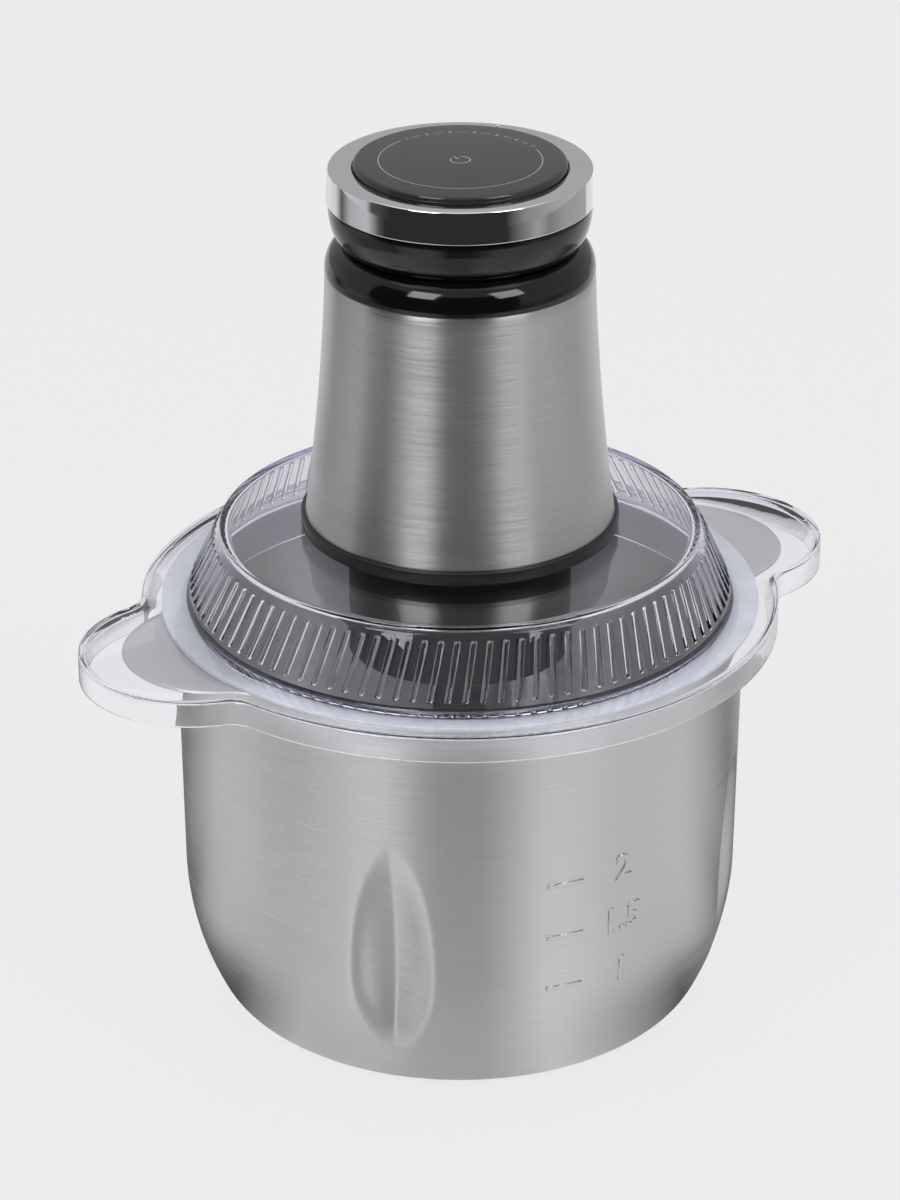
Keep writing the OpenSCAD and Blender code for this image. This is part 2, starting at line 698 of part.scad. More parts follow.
// Rubber bush that lines the cord's hole in the sleeve
module cord_gland() {
    inner_end = sleeve_r(sleeve_z + gland_up) - 4.5;
    gland_len = 12;
    flange_len = 8;
    color([0.08, 0.08, 0.08]) rotate(gland_az) translate([0, 0, sleeve_z + gland_up]) difference() {
        union() {
            difference() {
                translate([inner_end, 0, 0]) rotate([0, 90, 0])
                    cylinder(r = cord_r + gland_t + 2, h = flange_len);
                translate([0, 0, -sleeve_z - gland_up]) rotate_extrude() sleeve_section(seat);
            }
            translate([inner_end, 0, 0]) rotate([0, 90, 0]) cylinder(r = cord_r + gland_t, h = gland_len);
        }
        translate([inner_end - 1, 0, 0]) rotate([0, 90, 0]) cylinder(r = cord_r, h = gland_len + 2);
    }
}

// Four screws that hold the gearbox cover down on the floor, driven from below
module housing_screws() {
    color([0.6, 0.6, 0.62]) at_bosses(floor_z + counterbore_h)
        mirror([0, 0, 1]) screw(screw_r, housing_screw_len, 2.7, 1.6);
}

// Black gloss shoulder that closes the sleeve, with a spigot for the cup
module shoulder() {
    rise = shoulder_h - 1;
    spigot_r = waist_r - 3.6;
    color([0.03, 0.03, 0.035]) rotate_extrude() polygon(concat(
        [[sleeve_top_r - 2 * shell_t, sleeve_top - 6], [sleeve_top_r - sleeve_t - slip, sleeve_top - 6],
         [sleeve_top_r - sleeve_t - slip, sleeve_top], [sleeve_top_r + 0.1, sleeve_top]],
        arc(waist_r, sleeve_top + 1, sleeve_top_r + 0.1 - waist_r, rise, 0, 90),
        [[spigot_r, waist_z], [spigot_r, waist_z + 2], [spigot_r - shell_t, waist_z + 2],
         [spigot_r - shell_t, waist_z - shell_t]],
        arc(waist_r - 1, sleeve_top, sleeve_top_r - 2 * shell_t - waist_r + 1, rise - shell_t + 1, 90, 0)));
}

// Black gloss cup that flares up to the speed ring, with a ledge for the deck
module head_cup() {
    color([0.03, 0.03, 0.035]) rotate_extrude() polygon(concat(
        [[waist_r - 3.5, waist_z]],
        arc(waist_r, cup_top - 0.8, cup_r - waist_r, cup_h - 0.8, -90, 0),
        [[cup_r, cup_top], [cup_r - shell_t, cup_top], [cup_r - shell_t, deck_z - 1],
         [cup_r - shell_t - 2.4, deck_z - 1], [cup_r - shell_t - 2.4, deck_z - 2.5]],
        arc(waist_r - shell_t, cup_top - 4.2, cup_r - waist_r - 2.4, cup_h - 6.2, 0, -90),
        [[waist_r - 3.5, waist_z + shell_t]]));
}

// Cover that closes the gearbox, holds the lower bearing and carries the stator on four posts
module gearbox_cover() {
    color([0.75, 0.75, 0.76]) difference() {
        union() {
            rotate_extrude() polygon([
                [shaft_r + 1, cover_z], [gearbox_r - seat, cover_z], [gearbox_r - seat, floor_top],
                [boss_at + 4, floor_top], [boss_at + 4, floor_top + 2.5], [gearbox_r - 3, floor_top + 2.5],
                [gearbox_r - 3, bearing_z], [bearing_r + 3, bearing_z], [bearing_r + 3, bearing_z + bearing_h],
                [bearing_r + seat, bearing_z + bearing_h], [bearing_r + seat, bearing_z],
                [shaft_r + 1, bearing_z]]);
            at_posts(floor_top + 1) cylinder(r = post_r, h = stack_z - floor_top - 1, $fn = 48);
            at_bosses(floor_top + 1) cylinder(r = 3.5, h = boss_h - 1, $fn = 48);
        }
        at_posts(stack_z - 10) cylinder(r = screw_r + seat, h = 11, $fn = 32);
        at_bosses(floor_top - 1) cylinder(r = screw_r + seat, h = boss_h, $fn = 32);
    }
}

// Internal gear that is held in the neck between the ledge and the cover
module ring_gear() {
    color([0.88, 0.86, 0.78]) translate([0, 0, gear_z - slip])
        linear_extrude(cover_z - gear_z + slip) difference() {
        circle(gearbox_r - seat);
        rotate(180 / ring_teeth)
            gear_outline(ring_teeth, ring_pitch_r + dedendum, ring_pitch_r - addendum, -backlash);
    }
}

// Bronze bush in the neck's floor for the output shaft
module output_bush() {
    color([0.66, 0.48, 0.24]) translate([0, 0, recess_top + 2.5]) difference() {
        cylinder(r = output_r + 3 - seat, h = bush_top - recess_top - 2.5);
        translate([0, 0, -1]) cylinder(r = output_r + running, h = bush_top);
    }
}

// Rubber lip seal under the bush
module shaft_seal() {
    color([0.1, 0.1, 0.1]) translate([0, 0, recess_top + slip]) difference() {
        cylinder(r = output_r + 3 - seat, h = 2.5 - slip);
        translate([0, 0, -1]) cylinder(r = output_r + running, h = 4);
    }
}

// Ball bearing: outer race, inner race and a ring of balls that touch both
module bearing() {
    mid_r = (bearing_r + shaft_r) / 2;
    ball_r = (bearing_r - shaft_r) / 4;
    balls = floor(2.6 * mid_r / ball_r);
    difference() {
        cylinder(r = bearing_r, h = bearing_h);
        translate([0, 0, -1]) cylinder(r = shaft_r + seat, h = bearing_h + 2);
        for (z = [-1, bearing_h - 1]) translate([0, 0, z]) difference() {
            cylinder(r = mid_r + ball_r, h = 2);
            translate([0, 0, -1]) cylinder(r = mid_r - ball_r, h = 4);
        }
    }
    for (i = [0:balls - 1]) rotate(360 * i / balls) translate([mid_r, 0, bearing_h / 2])
        sphere(r = ball_r * 1.15, $fn = 24);
}

module lower_bearing() {
    color([0.8, 0.8, 0.82]) translate([0, 0, bearing_z]) bearing();
}

module upper_bearing() {
    color([0.8, 0.8, 0.82]) translate([0, 0, upper_bearing_z]) bearing();
}

// Sector of a ring about +Z
module sector(r0, r1, z0, z1, a0, a1) {
    rotate(a0) rotate_extrude(angle = a1 - a0) translate([r0, z0]) square([r1 - r0, z1 - z0]);
}

// Stack of stator sheets with two poles, windows for the coils and four screw holes
module stator_core() {
    bore_r = rotor_r + air_gap;
    color([0.42, 0.42, 0.44]) difference() {
        translate([0, 0, stack_z]) linear_extrude(stack_h) difference() {
            intersection() {
                square(stator_w, center = true);
                circle(stator_corner_r);
            }
            circle(bore_r);
            at_posts(0) circle(screw_r + seat, $fn = 32);
        }
        for (a = [90 - coil_reach, 90 + coil_window, 270 - coil_reach, 270 + coil_window])
            sector(bore_r - join, bore_r + coil_t + 1.8, stack_z - join, stack_top + join,
                   a - 2, a + coil_reach - coil_window + 2);
    }
}

// Two saddle-shaped field coils round the poles, one solid each
module field_coils() {
    inner_r = rotor_r + air_gap + 1.2;
    outer_r = inner_r + coil_t;
    color([0.62, 0.32, 0.14]) for (side = [0, 180]) rotate(side) difference() {
        sector(inner_r, outer_r, stack_z - coil_head, stack_top + coil_head, 90 - coil_reach, 90 + coil_reach);
        sector(inner_r - join, outer_r + join, stack_z - slip, stack_top + slip,
               90 - coil_window, 90 + coil_window);
    }
}

// Moulded bracket above the stator: four legs, plate with windows, seat for the upper bearing
module upper_bracket() {
    color([0.2, 0.2, 0.21]) difference() {
        union() {
            translate([0, 0, bracket_z]) cylinder(r = board_r + slip, h = bracket_t);
            translate([0, 0, bracket_z])
                cylinder(r = bearing_r + 3, h = upper_bearing_z + bearing_h - bracket_z);
            at_posts(stack_top) cylinder(r = post_r, h = bracket_z - stack_top + 1, $fn = 48);
            at_three(board_post_at, bracket_z + 1) cylinder(r = 3, h = board_z - bracket_z - 1, $fn = 48);
        }
        at_posts(stack_top - join)
            cylinder(r = screw_r + seat, h = bracket_z + bracket_t - stack_top + 2 * join, $fn = 32);
        at_three(board_post_at, board_z - 6) cylinder(r = small_screw_r + seat, h = 8, $fn = 32);
        translate([0, 0, bracket_z - join]) cylinder(r = shaft_r + 1.5, h = bracket_t + 2 * join);
        translate([0, 0, upper_bearing_z]) cylinder(r = bearing_r + seat, h = bearing_h + join);
        for (a = [70, 250])
            sector(bearing_r + 5, stator_corner_r - 6, bracket_z - join, bracket_z + bracket_t + join,
                   a, a + 40);
    }
}

// Four long screws through bracket legs and stator into the cover's posts
module stator_screws() {
    head_z = bracket_z + bracket_t;
    color([0.6, 0.6, 0.62]) at_posts(head_z) screw(screw_r, head_z - stack_z + 9, 3, 2);
}

// Two boxes that hang from the bracket and guide the brushes towards the commutator
module brush_holders() {
    color([0.72, 0.56, 0.28]) for (side = [0, 180]) rotate(side) difference() {
        union() {
            translate([holder_at, -brush_w / 2 - holder_wall, brush_mid - brush_h / 2 - holder_wall])
                cube([holder_len, brush_w + 2 * holder_wall, brush_h + 2 * holder_wall]);
            translate([holder_at + holder_len / 2 - 3, -brush_w / 2, brush_mid])
                cube([6, brush_w, bracket_z - brush_mid]);
        }
        translate([comm_r, -brush_w / 2 - seat, brush_mid - brush_h / 2 - seat])
            cube([holder_end - comm_r, brush_w + 2 * seat, brush_h + 2 * seat]);
    }
}

// Two carbon brushes, hollowed at the end that runs on the commutator
module carbon_brushes() {
    color([0.12, 0.12, 0.12]) for (side = [0, 180]) rotate(side) difference() {
        translate([brush_at, -brush_w / 2, brush_mid - brush_h / 2]) cube([brush_len, brush_w, brush_h]);
        translate([0, 0, brush_mid - brush_h]) cylinder(r = comm_r + running, h = 2 * brush_h);
    }
}

// Two coil springs that press the brushes inwards
module brush_springs() {
    spring_at = brush_at + brush_len + seat;
    color([0.7, 0.7, 0.72]) for (side = [0, 180]) rotate(side)
        translate([spring_at, 0, brush_mid]) rotate([0, 90, 0])
            coil(1.8, 0.6, holder_end - spring_at - seat, 4);
}

// Round board above the motor with holes for its screws
module power_board() {
    color([0.1, 0.3, 0.16]) difference() {
        translate([0, 0, board_z]) cylinder(r = board_r, h = board_t);
        at_three(board_post_at, board_z - 1) cylinder(r = small_screw_r + slip, h = board_t + 2, $fn = 32);
    }
}

// Film capacitor that stands on the power board
module filter_capacitor() {
    color([0.75, 0.62, 0.2]) translate([-13, -4, board_z + board_t]) cube([18, 8, 11]);
}

// Toroidal choke that lies on the power board
module suppression_choke() {
    color([0.62, 0.32, 0.14]) translate([-2, 18, board_z + board_t + 4]) rotate_extrude()
        translate([6, 0]) circle(4, $fn = 32);
}

// Triac with its tab, standing on the power board
module power_triac() {
    color([0.15, 0.15, 0.16]) translate([12, -20, board_z + board_t]) {
        cube([10, 4.5, 9]);
        translate([0, 3.2, 0]) cube([10, 1.3, 14]);
    }
}

// Three screws that hold the power board on its posts
module board_screws() {
    color([0.6, 0.6, 0.62]) at_three(board_post_at, board_z + board_t) screw(small_screw_r, 7, 2, 1.2);
}

// Deck in the head: flange on the cup's ledge, floor with the stem's guide, tube that the ring turns on
module control_deck() {
    color([0.08, 0.08, 0.085]) difference() {
        union() {
            rotate_extrude() polygon([
                [stem_r + running, deck_z], [seat_r - 4, deck_z], [seat_r, deck_z - 1],
                [cup_r - shell_t - seat, deck_z - 1], [cup_r - shell_t - seat, deck_z + 1],
                [seat_r, deck_z + 1], [seat_r, seat_top], [seat_r - 2.4, seat_top], [seat_r - 2.4, deck_top],
                [stem_r + 2, deck_top], [stem_r + 2, deck_top + 3], [stem_r + running, deck_top + 3]]);
            at_three(retainer_at, deck_z + 1) cylinder(r = 3, h = seat_top - deck_z - 1, $fn = 48);
            at_three(control_r - 4, control_z + board_t)
                cylinder(r = 2.5, h = deck_z - control_z - board_t + 1, $fn = 48);
        }
        at_three(retainer_at, seat_top - 5) cylinder(r = small_screw_r + seat, h = 6, $fn = 32);
    }
}

// Round board under the deck that carries the start switch
module control_board() {
    color([0.1, 0.3, 0.16]) translate([0, 0, control_z]) cylinder(r = control_r, h = board_t);
}

// Key switch that the button's stem presses
module start_switch() {
    color([0.12, 0.12, 0.12]) translate([0, 0, control_z + board_t]) {
        translate([-4, -4, 0]) cube([8, 8, switch_top - control_z - board_t - 0.8]);
        cylinder(r = 2.2, h = switch_top - control_z - board_t);
    }
}

// Ring-shaped track board that the ring's wiper slides on
module speed_track() {
    color([0.1, 0.3, 0.16]) translate([0, 0, deck_z + 1]) difference() {
        cylinder(r = cup_r - shell_t - 0.2, h = cup_top - deck_z - 1);
        translate([0, 0, -1]) cylinder(r = seat_r + 0.2, h = 4);
    }
}

// Flat ring that keeps the speed ring on its tube
module ring_retainer() {
    color([0.75, 0.75, 0.76]) translate([0, 0, seat_top]) difference() {
        cylinder(r = ring_hole_r - slip, h = retainer_t);
        translate([0, 0, -1]) cylinder(r = seat_r - 7.5, h = 4);
        at_three(retainer_at, -1) cylinder(r = small_screw_r + slip, h = 4, $fn = 32);
    }
}

module retainer_screws() {
    color([0.6, 0.6, 0.62]) at_three(retainer_at, seat_top + retainer_t) screw(small_screw_r, 5, 2, 1);
}

// Coil spring that lifts the button
module return_spring() {
    color([0.75, 0.75, 0.76]) translate([0, 0, deck_top]) coil(stem_r + 3.4, 0.9, button_z - deck_top, 5);
}

// Steel shaft of the rotor, stepped for the pinion
module rotor_shaft() {
    color([0.76, 0.76, 0.77]) translate([0, 0, gear_z])
        cylinder(r = shaft_r, h = upper_bearing_z + bearing_h + 2 - gear_z);
}

// Outline of the rotor's slots, drawn in by a gap
module slot_outline(gap) {
    for (i = [0:slot_count - 1]) rotate(360 * (i + 0.5) / slot_count) {
        translate([rotor_r - 4.5, 0]) circle(2.4 - gap, $fn = 32);
        translate([rotor_r - 10, -1.6 + gap]) square([6, 3.2 - 2 * gap]);
    }
}

// Stack of rotor sheets with winding slots
module rotor_core() {
    color([0.42, 0.42, 0.44]) translate([0, 0, stack_z]) linear_extrude(stack_h) difference() {
        circle(rotor_r);
        circle(shaft_r + seat);
        slot_outline(0);
    }
}

// Copper windings: bars in the slots and a rounded head at each end
module rotor_windings() {
    head = 6;
    color([0.66, 0.34, 0.15]) {
        translate([0, 0, stack_z - 1]) linear_extrude(stack_h + 2) slot_outline(0.15);
        for (z = [stack_z - slip, stack_top + slip]) translate([0, 0, z]) mirror([0, 0, z < stack_top ? 1 : 0])
            rotate_extrude() polygon(concat([[shaft_r + 1, 0], [rotor_r - 2, 0]],
                arc(rotor_r - 5, head - 3, 3, 3, 0, 90), [[shaft_r + 1, head]]));
    }
}

// Commutator: copper bars with cuts between them
module commutator() {
    color([0.72, 0.42, 0.22]) translate([0, 0, comm_z]) linear_extrude(comm_h) difference() {
        circle(comm_r);
        circle(shaft_r + seat);
        for (i = [0:bar_count - 1]) rotate(360 * i / bar_count)
            translate([comm_r - 1.2, -0.25]) square([2, 0.5]);
    }
}

// Cooling fan: hub, disc and straight vanes
module cooling_fan() {
    color([0.85, 0.85, 0.86]) translate([0, 0, fan_z]) difference() {
        union() {
            cylinder(r = fan_r, h = 1.6);
            cylinder(r = shaft_r + 4, h = 8);
            for (i = [0:vane_count - 1]) rotate(360 * i / vane_count)
                translate([shaft_r + 6, -0.6, 1]) cube([fan_r - shaft_r - 7, 1.2, 7]);
        }
        translate([0, 0, -1]) cylinder(r = shaft_r + seat, h = 10);
    }
}

// Steel pinion on the rotor shaft, the sun of the planetary gear
module sun_pinion() {
    color([0.6, 0.6, 0.62]) translate([0, 0, gear_z]) linear_extrude(gear_w) difference() {
        gear_outline(sun_teeth, sun_r + addendum, sun_r - dedendum, backlash);
        circle(shaft_r + seat);
    }
}

// Planet gear that faces the sun with a gap between two teeth
module planet_gear(i) {
    color([0.88, 0.86, 0.78]) rotate(120 * i) translate([orbit_r, 0, gear_z])
        linear_extrude(gear_w) difference() {
        rotate(180 / planet_teeth)
            gear_outline(planet_teeth, planet_r + addendum, planet_r - dedendum, backlash);
        circle(planet_pin_r + running);
    }
}

// Carrier plate in one piece with the output shaft
module planet_carrier() {
    color([0.6, 0.6, 0.62]) difference() {
        union() {
            translate([0, 0, carrier_z]) cylinder(r = orbit_r + planet_pin_r + 3, h = carrier_t);
            translate([0, 0, shaft_end]) cylinder(r = output_r, h = carrier_z - shaft_end + 1);
        }
        for (i = [0:2]) rotate(120 * i) translate([orbit_r, 0, carrier_z - 1])
            cylinder(r = planet_pin_r + seat, h = carrier_t + 2, $fn = 48);
        translate([0, 0, shaft_end - 1]) cylinder(r = screw_r + seat, h = coupling_screw_len + 1, $fn = 32);
    }
}

module planet_pins() {
    color([0.76, 0.76, 0.77]) for (i = [0:2]) rotate(120 * i) translate([orbit_r, 0, carrier_z])
        cylinder(r = planet_pin_r, h = gear_top - carrier_z, $fn = 48);
}

// Drive coupling on the output shaft, open below with a hexagonal socket for the drive head
module drive_coupling() {
    color([0.12, 0.12, 0.125]) difference() {
        translate([0, 0, coupling_z]) cylinder(r = coupling_r, h = coupling_top - coupling_z);
        translate([0, 0, coupling_z - 1])
            cylinder(d = (head_af + 2 * slip) / cos(30), h = socket_h + 1, $fn = 6);
        translate([0, 0, socket_top - 1]) cylinder(r = 3.4, h = head_pocket + 1);
        translate([0, 0, socket_top]) cylinder(r = screw_r + 0.2, h = 10, $fn = 32);
        translate([0, 0, shaft_end]) cylinder(r = output_r + seat, h = 20);
    }
}

// Screw that holds the coupling on the output shaft
module coupling_screw() {
    color([0.6, 0.6, 0.62]) translate([0, 0, socket_top + head_pocket]) mirror([0, 0, 1])
        screw(screw_r, coupling_screw_len, 3, 2);
}

// Chromed speed ring: sloped wall, flat top with the pointer groove, bearing web inside
module speed_ring() {
    web_top = seat_top - 0.2;
    color([0.80, 0.80, 0.82]) difference() {
        rotate_extrude() polygon([
            [ring_r - 0.3, ring_z], [ring_r, ring_z + 0.3], [ring_r - ring_lean, ring_top - 0.3],
            [ring_r - ring_lean - 0.3, ring_top], [ring_hole_r, ring_top], [ring_hole_r, web_top],
            [seat_r + 0.1, web_top], [seat_r + 0.1, ring_z + 0.3], [ring_hole_r + 1.2, ring_z + 0.3],
            [ring_hole_r + 1.2, ring_top - 2.4], [ring_r - 2.2, ring_top - 2.4], [ring_r - 2.2, ring_z]]);
        rotate(pointer_az) translate([(ring_hole_r + ring_r - ring_lean) / 2, 0, ring_top])
            cube([3, 0.5, 0.4], center = true);
    }
}

// Spring contact under the ring that slides on the track
module speed_wiper() {
    color([0.72, 0.56, 0.28]) rotate(pointer_az) translate([ring_hole_r + 2.4, -1.5, ring_z - 0.3])
        cube([2, 3, ring_top - 2.4 - ring_z + 0.3]);
}

// Black gloss button: bevelled disc with a skirt and the stem that presses the switch
module start_button() {
    bevel = 0.8;
    color([0.03, 0.03, 0.035]) difference() {
        rotate_extrude() polygon([
            [0, button_top], [button_r - bevel, button_top], [button_r, button_top - bevel],
            [button_r, button_z - skirt_depth], [button_r - 2, button_z - skirt_depth],
            [button_r - 2, button_z], [stem_r, button_z], [stem_r, deck_z - 2.6], [0, deck_z - 2.6]]);
        translate([0, 0, deck_z - 0.2 - clip_t]) difference() {
            cylinder(r = stem_r + 1, h = clip_t);
            translate([0, 0, -1]) cylinder(r = stem_r - 0.8, h = 3);
        }
    }
}

// Spring clip in the stem's groove; it stops the button under the deck
module button_clip() {
    color([0.6, 0.6, 0.62]) translate([0, 0, deck_z - 0.2 - clip_t]) difference() {
        cylinder(r = stem_r + 2, h = clip_t);
        translate([0, 0, -1]) cylinder(r = stem_r - 0.8 + seat, h = 3);
        translate([0, -1.6, -1]) cube([10, 3.2, 3]);
    }
}

bowl();
pivot_pin();
lid();
lid_seal();
blade_hub();
hub_bush();
lower_blade();
blade_spacer();
upper_blade();
blade_nut();
base_housing();
steel_sleeve();
shoulder();
head_cup();
cord_gland();
housing_screws();
gearbox_cover();
ring_gear();
output_bush();
shaft_seal();
lower_bearing();
stator_core();
field_coils();
upper_bracket();
upper_bearing();
stator_screws();
brush_holders();
carbon_brushes();
brush_springs();
power_board();
filter_capacitor();
suppression_choke();
power_triac();
board_screws();
control_deck();
control_board();
start_switch();
speed_track();
ring_retainer();
retainer_screws();
return_spring();
rotor_shaft();
rotor_core();
rotor_windings();
commutator();
cooling_fan();
sun_pinion();
planet_carrier();
planet_pins();
drive_coupling();
coupling_screw();
planet_gear(0);  // planet_gear_1
planet_gear(1);  // planet_gear_2
planet_gear(2);  // planet_gear_3
speed_ring();
speed_wiper();
start_button();
button_clip();
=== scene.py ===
# Electric food chopper: a dented steel bowl, a clear ribbed lid with its seal, a blade tower, and a motor
# unit that stands on the lid. Shapes are written in millimetres and go into the meshes in metres.
import json

import bpy
import numpy as np
from mathutils import Matrix, Vector

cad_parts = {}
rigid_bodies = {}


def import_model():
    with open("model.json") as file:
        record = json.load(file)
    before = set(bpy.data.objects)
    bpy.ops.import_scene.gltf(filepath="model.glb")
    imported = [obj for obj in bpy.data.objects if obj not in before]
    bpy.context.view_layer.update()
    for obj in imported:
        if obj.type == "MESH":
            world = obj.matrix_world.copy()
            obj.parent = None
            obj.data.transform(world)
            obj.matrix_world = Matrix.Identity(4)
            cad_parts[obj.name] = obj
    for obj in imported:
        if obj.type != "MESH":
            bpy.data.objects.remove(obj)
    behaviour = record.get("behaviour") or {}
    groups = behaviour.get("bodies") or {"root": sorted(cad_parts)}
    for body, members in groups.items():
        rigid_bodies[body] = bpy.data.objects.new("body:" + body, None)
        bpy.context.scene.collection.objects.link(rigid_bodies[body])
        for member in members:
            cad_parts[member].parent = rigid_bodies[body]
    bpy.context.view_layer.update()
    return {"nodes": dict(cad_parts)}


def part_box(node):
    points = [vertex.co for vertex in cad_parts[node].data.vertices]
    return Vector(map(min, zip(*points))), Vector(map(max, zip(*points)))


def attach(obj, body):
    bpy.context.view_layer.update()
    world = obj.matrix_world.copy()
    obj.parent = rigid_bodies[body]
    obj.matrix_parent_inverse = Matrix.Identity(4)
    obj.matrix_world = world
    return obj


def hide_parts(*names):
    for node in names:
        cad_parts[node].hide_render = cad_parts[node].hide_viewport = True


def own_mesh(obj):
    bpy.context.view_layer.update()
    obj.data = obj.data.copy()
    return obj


for left_over in list(bpy.data.objects):
    bpy.data.objects.remove(left_over, do_unlink=True)
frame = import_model()
mm = 0.001

# The camera stands in front of the object, a little to its left, and looks down on it by 26 degrees. Its
# long lens keeps the perspective as flat as in the photograph.
lens = bpy.data.cameras.new("camera")
lens.lens = 124.4
lens.sensor_width = 36
lens.clip_end = 30
camera = bpy.data.objects.new("camera", lens)
camera.location = (-0.5654, -1.0955, 0.7384)
aim = Vector((-0.0029, 0.0015, 0.1386))
camera.rotation_euler = (aim - camera.location).to_track_quat("-Z", "Y").to_euler()
bpy.context.scene.collection.objects.link(camera)
bpy.context.scene.camera = camera
bpy.context.scene.view_settings.view_transform = "Standard"
camera_az = np.degrees(np.arctan2(camera.location.y, camera.location.x))


# The studio floor is one sheet of pale matt paper, laid out well past the frame. Seen straight or through
# the clear lid it shows mostly its own colour, with a soft shadow where the bowl stands. Metal mirrors it
# as it is lit only beyond the glowing rings laid over it below. Their painted tones stand in for its
# reflection.
def linear(hex_colour):
    """An sRGB hex value as a linear colour: c / 12.92 up to 0.04045, else ((c + 0.055) / 1.055) ^ 2.4."""
    value = np.array([int(hex_colour[at:at + 2], 16) for at in (1, 3, 5)]) / 255
    return (*np.where(value <= 0.04045, value / 12.92, ((value + 0.055) / 1.055) ** 2.4), 1.0)


def new_material(name):
    """A node material with nothing in it but its output."""
    material = bpy.data.materials.new(name)
    material.use_nodes = True
    material.node_tree.nodes.clear()
    material.node_tree.nodes.new("ShaderNodeOutputMaterial")
    return material


def add(owner, kind, settings=None, inputs=None):
    """Adds a node of a kind, sets its own settings, and gives each input a value or another node's output."""
    tree = owner.node_tree
    made = tree.nodes.new("ShaderNode" + kind)
    for name, value in (settings or {}).items():
        setattr(made, name, value)
    for name, value in (inputs or {}).items():
        if isinstance(value, bpy.types.NodeSocket):
            tree.links.new(value, made.inputs[name])
        else:
            made.inputs[name].default_value = value
    return made


def to_output(owner, shader, socket="Surface"):
    """Links a shader to the output of a material or world."""
    end = next(found for found in owner.node_tree.nodes if "Output" in found.bl_idname)
    owner.node_tree.links.new(shader, end.inputs[socket])


def direct_rays(owner):
    """1 for rays from the camera and those that passed clear plastic, and 0 for the rest."""
    ray = add(owner, "LightPath")
    direct = add(owner, "Math", {"operation": "MAXIMUM"}, {0: ray.outputs["Is Camera Ray"],
                                                           1: ray.outputs["Is Transmission Ray"]})
    return direct.outputs[0]


def plain_object(name, vertices, faces, material):
    """A mesh object from lists of points in metres and faces."""
    mesh = bpy.data.meshes.new(name)
    mesh.from_pydata(vertices, [], faces)
    mesh.materials.append(material)
    made = bpy.data.objects.new(name, mesh)
    bpy.context.scene.collection.objects.link(made)
    return made


paper_colour = linear("#EBEBEB")
paper_glow = 0.93
paper_level = 1.02
floor_reach = 9.0
paper = new_material("pale_paper")
paper_diffuse = add(paper, "BsdfDiffuse", inputs={"Color": paper_colour})
paper_light = add(paper, "Emission", inputs={"Color": paper_colour, "Strength": paper_level})
glow_share = add(paper, "Math", {"operation": "MULTIPLY"}, {0: direct_rays(paper), 1: paper_glow})
paper_mix = add(paper, "MixShader", inputs={0: glow_share.outputs[0], 1: paper_diffuse.outputs[0],
                                            2: paper_light.outputs[0]})
to_output(paper, paper_mix.outputs[0])
floor_corners = [(x * floor_reach, y * floor_reach, 0) for x, y in ((-1, -1), (1, -1), (1, 1), (-1, 1))]
plain_object("floor", floor_corners, [(0, 1, 2, 3)], paper)

# The room is a plain grey dome. The camera and the clear plastic see the paper's colour there, so no
# horizon shows, and metal sees the darker grey that lights the scene.
dome_level = 0.47
room = bpy.data.worlds.new("room")
room.use_nodes = True
room.node_tree.nodes.clear()
room.node_tree.nodes.new("ShaderNodeOutputWorld")
bpy.context.scene.world = room
dome = add(room, "Background", inputs={"Color": linear("#FFFFFF"), "Strength": dome_level})
backdrop = add(room, "Background", inputs={"Color": paper_colour, "Strength": 1.0})
to_output(room, add(room, "MixShader", inputs={0: direct_rays(room), 1: dome.outputs[0],
                                               2: backdrop.outputs[0]}).outputs[0])

# Three softboxes light the object: one overhead, and one on each side of the camera, some 40 degrees up.
# They shade the mouldings softly and give the black gloss and the clear lid their highlights.
lamp_aim = Vector((0, 0, 0.2))


def softbox(name, azimuth, distance, height, width, tall, radiance):
    """A rectangular lamp of a given brightness that faces the object, at an azimuth from the camera's own."""
    lamp = bpy.data.lights.new(name, "AREA")
    lamp.shape = "RECTANGLE"
    lamp.size = width
    lamp.size_y = tall
    lamp.energy = radiance * np.pi * width * tall
    placed = bpy.data.objects.new(name, lamp)
    turn = np.radians(camera_az + azimuth)
    placed.location = (distance * np.cos(turn), distance * np.sin(turn), height)
    placed.rotation_euler = (lamp_aim - placed.location).to_track_quat("-Z", "Y").to_euler()
    bpy.context.scene.collection.objects.link(placed)


softbox("overhead_box", azimuth=180, distance=0.35, height=2.3, width=2.6, tall=1.8, radiance=0.8)
softbox("left_strip", azimuth=-35, distance=1.5, height=1.46, width=0.72, tall=0.80, radiance=6.0)
softbox("right_strip", azimuth=46, distance=1.5, height=1.46, width=0.75, tall=0.80, radiance=5.2)
